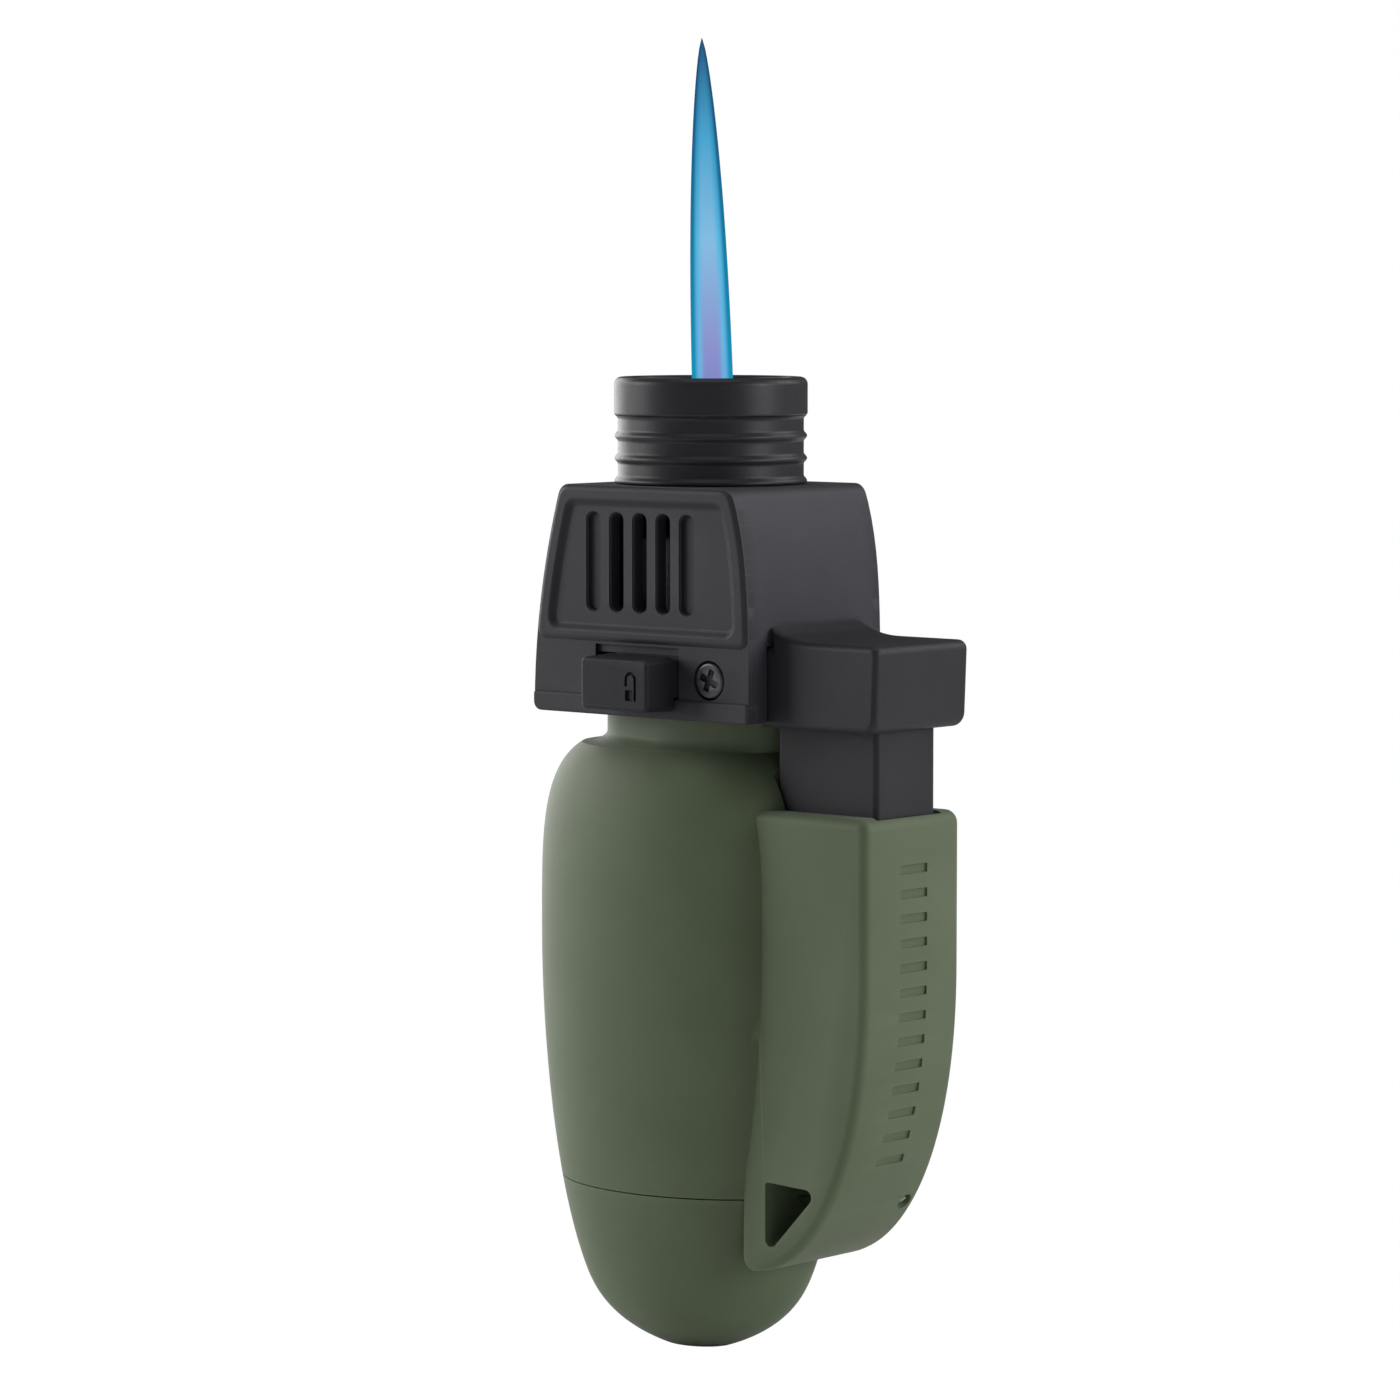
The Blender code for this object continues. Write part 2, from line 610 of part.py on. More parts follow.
def make_head_frame(finishes):
    """The end walls, roof and floor. The side covers close its two open sides."""
    outline = head_outline(0.0, (HEAD_BOTTOM_Z, HEAD_TOP_Z))
    ledge = COVER_INNER_Y - GAP
    frame = add("head_frame", prism(outline, (-ledge, ledge)), finishes["black"])
    cut(frame, prism(head_outline(HEAD_WALL, HOLLOW_Z), (-ledge - 0.1, ledge + 0.1)))
    mouth = TRIGGER_HALF_WIDTH + GAP
    floor_hole = [oval_ring(12.5, NECK_HALF_WIDTH + GAP, z, x=0.0) for z in (60, 69)]
    cut(
        frame,
        loft(floor_hole),
        rod(NOZZLE_SPIGOT + GAP, (84, 95), steps=48),
        box((11.0, THROUGH), (-mouth, mouth), (60, OPENING_TOP_Z)),
        box((11.0, THROUGH), (FINGER_Y[0] - GAP, FINGER_Y[1] + GAP), (70, FINGER_Z[1] + GAP)),
    )
    # Bosses for the cover screws, carried by the end wall beside the trigger.
    for side in (-1, 1):
        boss = cross_rod(BOSS_RADIUS, sorted((side * BOSS_INNER_Y, side * ledge)), SCREW_X, SCREW_Z)
        web = box((SCREW_X, 12.6), sorted((side * 7.4, side * ledge)), (68.8, 71.4))
        join(frame, boss, web)
        bore_y = sorted((side * 6.0, side * 9.5))
        cut(frame, cross_rod(SCREW_SHANK_RADIUS + 0.15, bore_y, SCREW_X, SCREW_Z, 12))
    return frame


def make_side_cover(name, side, finishes):
    """One broad side: a raised trapezoid frame round a slotted panel, a band, and a lip."""
    face = sorted((side * COVER_INNER_Y, side * COVER_FACE_Y))
    outside = side * 14
    recess = sorted((side * COVER_PANEL_Y, outside))
    outline = head_outline(0.0, (HEAD_BOTTOM_Z, HEAD_TOP_Z))
    cover = add(name, prism(outline, face), finishes["black"])
    panel = head_outline(FRAME_WIDTH, PANEL_Z, 6)
    cut(cover, prism(panel, recess), box((-THROUGH, THROUGH), recess, (LIP_TOP_Z, FRAME_FOOT_Z)))
    for i in range(-2, 3):
        x = SLOT_MIDDLE_X + i * SLOT_PITCH
        depth = sorted((side * (6 if abs(i) < 2 else GROOVE_Y), side * 12))
        cut(cover, prism(slot_outline(x), depth))
    cut(
        cover,
        cross_rod(SCREW_SHANK_RADIUS + 0.4, sorted((side * 6, side * 12)), SCREW_X, SCREW_Z, 16),
        cross_rod(SCREW_RECESS_RADIUS, sorted((side * SCREW_RECESS_Y, side * 12)), SCREW_X, SCREW_Z, 20),
    )
    if side < 0:
        cut(cover, box(WINDOW_X, (-12, -6), WINDOW_Z))
    return cover


def slot_outline(x):
    """An upright slot with round ends."""
    r = SLOT_HALF_WIDTH
    turns = [math.pi * i / 4 for i in range(5)]
    top = [(x + r * math.cos(a), SLOT_Z[1] - r + r * math.sin(a)) for a in turns]
    bottom = [(x - r * math.cos(a), SLOT_Z[0] + r - r * math.sin(a)) for a in turns]
    return top + bottom


def make_cover_screw(name, side, finishes):
    """A pan-head screw that holds a side cover to the head frame."""
    head_y, shank_y = (sorted(side * y for y in span) for span in (SCREW_HEAD_Y, SCREW_SHANK_Y))
    screw = add(
        name, cross_rod(SCREW_HEAD_RADIUS, head_y, SCREW_X, SCREW_Z, 20), finishes["dark_steel"]
    )
    join(screw, cross_rod(SCREW_SHANK_RADIUS, shank_y, SCREW_X, SCREW_Z, 14))


def make_lock_slider(finishes):
    """The lock: a knob outside the front cover, a neck through its window and a foot behind it."""
    origin = (0.4, -COVER_FACE_Y, 69.6)
    root, face = KNOB_ROOT_Y, KNOB_FACE_Y
    knob = [
        [(-4.3, root, 67.0), (4.5, root, 67.0), (4.5, root, 72.1), (-4.3, root, 72.1)],
        [(-4.2, face, 67.1), (3.9, face, 67.1), (3.9, face, 72.0), (-4.2, face, 72.0)],
    ]
    slider = add("lock_slider", loft(knob), finishes["black"], origin)
    soften(slider, 0.35, 2)
    join(slider, box(*LOCK_NECK), box(*LOCK_FOOT))
    # The detent is a leaf that bows out towards the foot plate.
    leaf = [
        (-8.0, -7.0), (-4.0, -7.0), (-2.5, -7.25), (2.5, -7.25), (4.0, -7.0), (5.8, -7.0),
        (5.8, -6.75), (4.0, -6.75), (2.5, -7.0), (-2.5, -7.0), (-4.0, -6.75), (-8.0, -6.75),
    ]
    spring = loft([[(px, py, z) for px, py in leaf] for z in (69.2, 71.4)])
    add("lock_detent_spring", spring, finishes["steel"])


# ---- trigger and igniter -------------------------------------------------------------------------
def cap_outline():
    """The thumb cap from the side: a scooped top that rises to meet the head."""
    long, high = SCOOP_X[1] - SCOOP_X[0], SCOOP_TOP_Z - CAP_TOP_Z
    start = math.acos((SCOOP_X[1] - CAP_LIP_X) / long)
    turns = [start + (math.pi / 2 - start) * i / 8 for i in range(9)]
    scoop = [(SCOOP_X[1] - long * math.cos(a), SCOOP_TOP_Z - high * math.sin(a)) for a in turns]
    corner = 1.6
    turns = (math.pi / 2 * i / 4 for i in range(5))
    foot = [
        (TRIGGER_REACH - corner * (1 - math.cos(a)), CAP_BOTTOM_Z + corner * (1 - math.sin(a)))
        for a in turns
    ]
    step_z = OPENING_TOP_Z - GAP
    back = [(TRIGGER_BACK_X, CAP_BOTTOM_Z), (TRIGGER_BACK_X, step_z), (CAP_LIP_X, step_z)]
    return [*back, *scoop, (TRIGGER_REACH, CAP_TOP_Z), *foot]


def make_trigger(finishes):
    half = TRIGGER_HALF_WIDTH
    origin = (TRIGGER_BACK_X, 0, CAP_BOTTOM_Z)
    trigger = add("trigger", prism(cap_outline(), (-half, half)), finishes["black"], origin)
    soften(trigger, 0.6, 2)
    join(
        trigger,
        box((TRIGGER_BACK_X, STEM_REACH), (-STEM_HALF_WIDTH, STEM_HALF_WIDTH), (STEM_BOTTOM_Z, 67)),
        box((8.2, 15.0), FINGER_Y, FINGER_Z),
    )
    cut(trigger, box((10, LEAD_X + 0.9), (-0.9, 0.9), (40, OPENING_TOP_Z)))
    return trigger


def make_piezo(finishes):
    """The press igniter: a plunger that winds up a spring, a hammer and the crystal that it hits."""
    x, half = PIEZO_X, PIEZO_HALF
    case = add("piezo_case", box((x - half, x + half), (-half, half), PIEZO_Z), finishes["white"])
    inside = half - 0.5
    cut(case, box((x - inside, x + inside), (-inside, inside), (23.4, 60)))
    plunger_half = inside - GAP
    plunger = add(
        "piezo_plunger",
        box((x - plunger_half, x + plunger_half), (-plunger_half, plunger_half), (36.4, STEM_BOTTOM_Z - GAP)),
        finishes["black"],
        (x, 0, 36.4),
    )
    cut(plunger, rod(2.2, (30, 47.6), x))
    add("piezo_return_spring", coil(2.7, 0.2, (24.8, 36.2), 6, x, 12, 5), finishes["steel"])
    add("piezo_impact_spring", coil(1.7, 0.18, (39.3, 47.4), 6, x, 10, 5), finishes["steel"])
    add("piezo_hammer", rod(1.85, (33.2, 39.0), x, steps=16), finishes["steel"], (x, 0, 33.2))
    add("piezo_crystal", rod(2.0, (24.9, 29.7), x, steps=16), finishes["ceramic"])
    add("piezo_contact", rod(2.9, (23.7, 24.5), x, steps=16), finishes["brass"])


def main():
    clear_scene()
    axis = bpy.data.objects.new(AXIS, None)
    bpy.context.scene.collection.objects.link(axis)
    axis.location = (AXIS_X * MM, 0, -FOOT_Z * MM)
    finishes = make_finishes()
    make_tank_shell(finishes)
    make_tank_base(finishes)
    make_fuel_fittings(finishes)
    make_gas_valve(finishes)
    make_lever(finishes)
    make_burner(finishes)
    make_nozzle(finishes)
    make_head_frame(finishes)
    make_side_cover("side_cover_front", -1, finishes)
    make_side_cover("side_cover_rear", 1, finishes)
    make_cover_screw("cover_screw_front", -1, finishes)
    make_cover_screw("cover_screw_rear", 1, finishes)
    make_lock_slider(finishes)
    make_trigger(finishes)
    make_piezo(finishes)
    make_lanyard_pin(finishes)


if __name__ == "__main__":
    main()
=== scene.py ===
"""Looks of a refillable pocket jet-flame lighter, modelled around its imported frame.

Lengths in the classes are millimetres: sideways from the nozzle's axis, upwards from the tip of the
tank's rounded nose, before the flat foot cuts it off. Datum turns them into the frame's metres.
"""

from __future__ import annotations

import json
import logging
import math
from collections.abc import Callable, Sequence
from dataclasses import dataclass
from enum import Enum

import bpy
from mathutils import Matrix, Vector

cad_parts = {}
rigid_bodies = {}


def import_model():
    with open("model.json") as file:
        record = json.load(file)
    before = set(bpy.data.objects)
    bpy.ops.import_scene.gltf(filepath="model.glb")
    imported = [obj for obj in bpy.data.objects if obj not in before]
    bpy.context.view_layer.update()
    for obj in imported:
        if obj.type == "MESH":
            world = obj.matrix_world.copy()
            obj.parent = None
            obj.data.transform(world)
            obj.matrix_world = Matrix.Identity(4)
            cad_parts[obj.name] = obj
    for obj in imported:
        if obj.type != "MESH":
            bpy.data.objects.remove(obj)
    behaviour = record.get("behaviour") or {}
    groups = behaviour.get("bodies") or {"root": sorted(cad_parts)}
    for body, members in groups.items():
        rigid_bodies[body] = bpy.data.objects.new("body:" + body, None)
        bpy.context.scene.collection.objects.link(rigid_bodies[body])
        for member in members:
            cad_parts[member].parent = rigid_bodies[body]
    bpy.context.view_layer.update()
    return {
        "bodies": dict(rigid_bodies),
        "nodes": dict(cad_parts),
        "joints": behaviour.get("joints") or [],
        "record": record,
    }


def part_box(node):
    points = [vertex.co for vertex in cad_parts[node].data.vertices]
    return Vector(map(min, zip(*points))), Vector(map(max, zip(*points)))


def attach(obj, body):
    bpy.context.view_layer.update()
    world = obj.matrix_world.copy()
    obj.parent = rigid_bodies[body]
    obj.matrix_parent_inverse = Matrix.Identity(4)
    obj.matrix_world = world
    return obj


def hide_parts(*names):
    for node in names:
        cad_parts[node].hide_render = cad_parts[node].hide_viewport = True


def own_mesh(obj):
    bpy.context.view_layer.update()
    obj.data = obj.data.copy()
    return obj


log = logging.getLogger("lighter")

MM = 0.001
Point = tuple[float, float]
Place = tuple[float, float, float]
ROOT = "lighter_body"


# ---- datum ---------------------------------------------------------------------------------------
@dataclass(frozen=True)
class Datum:
    """Where the nozzle's axis and the tip of the nose stand in the frame, in millimetres."""

    x: float
    z: float

    @classmethod
    def from_frame(cls) -> Datum:
        """Reads the axis and the height of the rim from the nozzle's box."""
        low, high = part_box("nozzle_shield")
        return cls((low.x + high.x) / 2 / MM, high.z / MM - Nozzle.top)

    def at(self, x: float, y: float, z: float) -> Place:
        """The frame's point, in metres, for a point in the part's own millimetres."""
        return ((x + self.x) * MM, y * MM, (z + self.z) * MM)


# ---- finishes ------------------------------------------------------------------------------------
def linear(hex_colour: str) -> tuple[float, float, float, float]:
    """Turns an sRGB hex colour into the linear colour that a shader takes."""
    channels = [int(hex_colour[i : i + 2], 16) / 255 for i in (1, 3, 5)]
    flat = [c / 12.92 if c <= 0.04045 else ((c + 0.055) / 1.055) ** 2.4 for c in channels]
    return (flat[0], flat[1], flat[2], 1.0)


def add_node(
    tree: bpy.types.NodeTree,
    kind: str,
    settings: dict[str, object] | None = None,
    links: dict[str, bpy.types.NodeSocket] | None = None,
) -> bpy.types.Node:
    """Adds a shader node.

    Args:
        tree: The node tree that gets it.
        kind: Blender's name of the node type.
        settings: Values, by the node's property name or, failing that, its input's name.
        links: Sockets to link, by the name of the input they feed.

    Returns:
        The new node.
    """
    node = tree.nodes.new(kind)
    for name, value in (settings or {}).items():
        if hasattr(node, name):
            setattr(node, name, value)
        else:
            node.inputs[name].default_value = value
    for name, socket in (links or {}).items():
        tree.links.new(socket, node.inputs[name])
    return node


def remap(
    tree: bpy.types.NodeTree, value: bpy.types.NodeSocket, source: Point, target: Point = (0.0, 1.0)
) -> bpy.types.NodeSocket:
    """Maps a value from one range to another."""
    settings = dict(zip(("From Min", "From Max", "To Min", "To Max"), (*source, *target)))
    return add_node(tree, "ShaderNodeMapRange", settings, {"Value": value}).outputs["Result"]


class Surface(Enum):
    """How a surface was made, which sets the fine relief on it."""

    MOULDED = "moulded"
    CAST = "cast"
    TURNED = "turned"
    ROLLED = "rolled"
    FIRED = "fired"


@dataclass(frozen=True)
class Finish:
    """One material: what it is, its colours and the grain of its surface."""

    name: str
    slot: str
    colour: str
    tone_and_highlight_colour: str
    # The paler colour: mixed in at random by the tone drift, and painted on convex edges as a
    # highlight.
    surface: Surface
    roughness: float
    grain: float = 0.25
    relief: float = 0.02
    metallic: float = 0.0
    sheen: float = 0.0
    ior: float = 1.5
    shine: float = 0.5

    def _grain(self, tree: bpy.types.NodeTree, place: bpy.types.NodeSocket) -> bpy.types.Node:
        """The pattern of the surface's relief, at its real size."""
        if self.surface is Surface.TURNED:
            # Tool marks run round the turned piece, one for each feed of the tool.
            return add_node(
                tree,
                "ShaderNodeTexWave",
                {
                    "wave_type": "BANDS",
                    "bands_direction": "Z",
                    "Scale": 1 / (self.grain * MM) / 20,
                    "Distortion": 0.4,
                    "Detail": 2.0,
                },
                {"Vector": place},
            )
        stretch = (1.0, 1.0, 12.0) if self.surface is Surface.ROLLED else (1.0, 1.0, 1.0)
        mapping = add_node(tree, "ShaderNodeMapping", {"Scale": stretch}, {"Vector": place})
        return add_node(
            tree,
            "ShaderNodeTexNoise",
            {"Scale": 1 / (self.grain * MM), "Detail": 3.0, "Roughness": 0.6},
            {"Vector": mapping.outputs["Vector"]},
        )

    def make(self) -> bpy.types.Material:
        """Builds the material's nodes."""
        material = bpy.data.materials.new(self.name)
        material.use_nodes = True
        tree = material.node_tree
        shader = tree.nodes["Principled BSDF"]
        place = add_node(tree, "ShaderNodeTexCoord").outputs["Object"]
        grain = self._grain(tree, place)
        # Slow drift of tone over a centimetre or so, as a moulding or a coat of paint has.
        drift = add_node(
            tree,
            "ShaderNodeTexNoise",
            {"Scale": 110.0, "Detail": 2.0, "Roughness": 0.5},
            {"Vector": place},
        )
        # Convex edges, found by pointiness, take the paler colour: a painted highlight along every
        # edge.
        points = add_node(tree, "ShaderNodeNewGeometry").outputs["Pointiness"]
        edges = remap(tree, points, (0.52, 0.62), (0.0, 0.55))
        toned = remap(tree, drift.outputs["Fac"], (0.35, 0.65), (0.0, 0.16))
        # The painted edge highlight and the random tone drift add up to one mask for the paler
        # colour.
        tone_and_edge_highlight = add_node(tree, "ShaderNodeMath", {"operation": "ADD", "use_clamp": True})
        tree.links.new(edges, tone_and_edge_highlight.inputs[0])
        tree.links.new(toned, tone_and_edge_highlight.inputs[1])
        share = {"Factor": tone_and_edge_highlight.outputs["Value"]}
        mix = add_node(tree, "ShaderNodeMix", {"data_type": "RGBA"}, share)
        mix.inputs[6].default_value = linear(self.colour)
        mix.inputs[7].default_value = linear(self.tone_and_highlight_colour)
        relief = grain.outputs["Fac"]
        rough = remap(tree, relief, (0.3, 0.7), (self.roughness - 0.05, self.roughness + 0.05))
        settings = {"Strength": 0.6, "Distance": self.relief * MM}
        bump = add_node(tree, "ShaderNodeBump", settings, {"Height": relief})
        tree.links.new(mix.outputs[2], shader.inputs["Base Color"])
        tree.links.new(rough, shader.inputs["Roughness"])
        tree.links.new(bump.outputs["Normal"], shader.inputs["Normal"])
        values = {"Metallic": self.metallic, "Sheen Weight": self.sheen, "Sheen Roughness": 0.45}
        if not self.metallic:
            values |= {"IOR": self.ior, "Specular IOR Level": self.shine}
        for name, value in values.items():
            shader.inputs[name].default_value = value
        return material


# ABS moulding under a soft-touch lacquer: dull, a little velvety at grazing angles.
SOFT_TOUCH_ABS = Finish(
    "soft_touch_abs", "green_polymer", "#5B684D", "#748168", Surface.MOULDED, 0.62, 0.22, 0.014,
    sheen=0.12, ior=1.45,
)
# Glass-filled nylon from a spark-eroded mould: charcoal and satin, its edges painted paler as a
# highlight.
GLASS_FILLED_NYLON = Finish(
    "glass_filled_nylon", "black_polymer", "#302F35", "#4B4A52", Surface.MOULDED, 0.55, 0.18, 0.016,
    shine=0.3,
)
# The same nylon from a smoother mould, where a thumb keeps it polished.
POLISHED_NYLON = Finish(
    "polished_nylon", "black_polymer", "#29282D", "#424148", Surface.MOULDED, 0.52, 0.16, 0.012,
    shine=0.3,
)
# Acetal copolymer, moulded nearly black: the sliding lock.
BLACK_ACETAL = Finish(
    "black_acetal", "black_polymer", "#222226", "#3A393F", Surface.MOULDED, 0.55, 0.16, 0.012,
    shine=0.22,
)
# Die-cast zinc under a satin black coat: turned rings show faintly through the coat.
COATED_ZINC = Finish(
    "coated_zinc", "black_coated_zinc", "#29292D", "#47474B", Surface.CAST, 0.4, 0.3, 0.01,
    shine=0.3,
)
TURNED_BRASS = Finish(
    "turned_brass", "brass", "#C9A65A", "#E3C98A", Surface.TURNED, 0.28, 0.15, 0.008, metallic=1.0
)
ROLLED_STEEL = Finish(
    "rolled_steel", "steel", "#BDBEC0", "#DADBDC", Surface.ROLLED, 0.32, 0.2, 0.006, metallic=1.0
)
# Steel under black oxide: dark, with a brighter colour painted along its edges as a highlight.
BLACK_OXIDE_STEEL = Finish(
    "black_oxide_steel", "dark_steel", "#46464B", "#7E7E83", Surface.TURNED, 0.42, 0.12, 0.008,
    metallic=0.8,
)
FIRED_ALUMINA = Finish(
    "fired_alumina", "ceramic", "#E6E2D6", "#F2EFE6", Surface.FIRED, 0.42, 0.12, 0.01
)
NITRILE_RUBBER = Finish(
    "nitrile_rubber", "rubber", "#1C1C1D", "#2B2B2C", Surface.MOULDED, 0.7, 0.2, 0.012
)
SILICONE_TUBE = Finish(
    "silicone_tube", "silicone", "#D8D8D4", "#E6E6E2", Surface.MOULDED, 0.45, 0.3, 0.008
)
WHITE_ACETAL = Finish(
    "white_acetal", "white_polymer", "#DEDED8", "#EDEDE8", Surface.MOULDED, 0.48, 0.2, 0.01
)
RED_SLEEVE = Finish(
    "red_sleeve", "wire_sleeve", "#93302C", "#A8504A", Surface.MOULDED, 0.5, 0.2, 0.01
)


class Paintshop:
    """Makes each finish once and dresses pieces and frame nodes in it."""

    def __init__(self) -> None:
        """Starts with no material made."""
        self._made: dict[str, bpy.types.Material] = {}

    def material(self, finish: Finish) -> bpy.types.Material:
        """The finish's material, made at its first use."""
        if finish.name not in self._made:
            self._made[finish.name] = finish.make()
        return self._made[finish.name]

    def dress(self, obj: bpy.types.Object, finish: Finish) -> None:
        """Gives an object one finish all over."""
        obj.data.materials.clear()
        obj.data.materials.append(self.material(finish))


# ---- modelling -----------------------------------------------------------------------------------
def activate(obj: bpy.types.Object) -> None:
    """Makes obj the only selected object, and the active one."""
    bpy.ops.object.select_all(action="DESELECT")
    obj.select_set(True)
    bpy.context.view_layer.objects.active = obj


def edit(obj: bpy.types.Object, select: str = "SELECT") -> None:
    """Opens obj in edit mode with everything selected, or nothing."""
    activate(obj)
    bpy.ops.object.mode_set(mode="EDIT")
    bpy.ops.mesh.select_mode(type="FACE")
    bpy.ops.mesh.select_all(action=select)


def close() -> None:
    """Goes back to object mode."""
    bpy.ops.object.mode_set(mode="OBJECT")


def settle(obj: bpy.types.Object) -> bpy.types.Object:
    """Puts an object's place into its mesh and turns its faces outwards."""
    activate(obj)
    bpy.ops.object.transform_apply(location=True, rotation=True, scale=True)
    edit(obj)
    bpy.ops.mesh.remove_doubles(threshold=1e-7)
    bpy.ops.mesh.normals_make_consistent(inside=False)
    close()
    return obj


def apply_modifier(obj: bpy.types.Object, kind: str, **settings: object) -> bpy.types.Object:
    """Adds a modifier to an object and applies it."""
    activate(obj)
    modifier = obj.modifiers.new(kind.title(), kind)
    for name, value in settings.items():
        setattr(modifier, name, value)
    bpy.ops.object.modifier_apply(modifier=modifier.name)
    return obj


def boolean(obj: bpy.types.Object, operation: str, *others: bpy.types.Object) -> bpy.types.Object:
    """Joins other solids to obj, or cuts them from it, and removes them."""
    for other in others:
        apply_modifier(obj, "BOOLEAN", operation=operation, solver="MANIFOLD", object=other)
        bpy.data.objects.remove(other)
    return obj


def cut(obj: bpy.types.Object, *others: bpy.types.Object) -> bpy.types.Object:
    """Cuts other solids from obj."""
    return boolean(obj, "DIFFERENCE", *others)


def join(obj: bpy.types.Object, *others: bpy.types.Object) -> bpy.types.Object:
    """Joins other solids to obj."""
    return boolean(obj, "UNION", *others)


def quarter_round(radius: float, steps: int = 5) -> list[Point]:
    """Insets and rises, in millimetres, that round an edge over."""
    angles = [math.pi / 2 * i / steps for i in range(steps + 1)]
    return [
        (radius * (math.cos(a) - math.cos(b)), radius * (math.sin(b) - math.sin(a)))
        for a, b in zip(angles, angles[1:])
    ]


def inset_chain(steps: Sequence[Point]) -> None:
    """Insets the selected face again and again, each time with its own rise."""
    for inwards, rise in steps:
        bpy.ops.mesh.inset(thickness=inwards * MM, depth=rise * MM, use_even_offset=True)


def select_faces(obj: bpy.types.Object, test: Callable[[bpy.types.MeshPolygon], bool]) -> None:
    """Opens obj in edit mode with the faces that pass a test selected."""
    edit(obj, "DESELECT")
    close()
    for face in obj.data.polygons:
        face.select = test(face)
    bpy.ops.object.mode_set(mode="EDIT")


def arc(centre: Point, radius: float, start: float, end: float, steps: int = 8) -> list[Point]:
    """Points along an arc, from one angle to another, in degrees."""
    turns = [math.radians(start + (end - start) * i / steps) for i in range(steps + 1)]
    return [(centre[0] + radius * math.cos(a), centre[1] + radius * math.sin(a)) for a in turns]


def rounded(corners: Sequence[tuple[float, float, float]], steps: int = 6) -> list[Point]:
    """Rounds the corners of an outline.

    Args:
        corners: Each corner's two coordinates and its radius. A radius of 0 keeps it sharp.
        steps: How many straight pieces each rounding gets.

    Returns:
        The outline's points.
    """
    outline: list[Point] = []
    for i, (x, z, radius) in enumerate(corners):
        here = Vector((x, z))
        if not radius:
            outline.append((x, z))
            continue
        before = (Vector(corners[i - 1][:2]) - here).normalized()
        after = (Vector(corners[(i + 1) % len(corners)][:2]) - here).normalized()
        half = before.angle(after) / 2
        middle = here + (before + after).normalized() * (radius / math.sin(half))
        first = here + before * (radius / math.tan(half)) - middle
        last = here + after * (radius / math.tan(half)) - middle
        turn = first.angle_signed(last)
        for k in range(steps + 1):
            swing = Matrix.Rotation(-turn * k / steps, 2)
            outline.append(tuple(middle + swing @ first))
    return outline


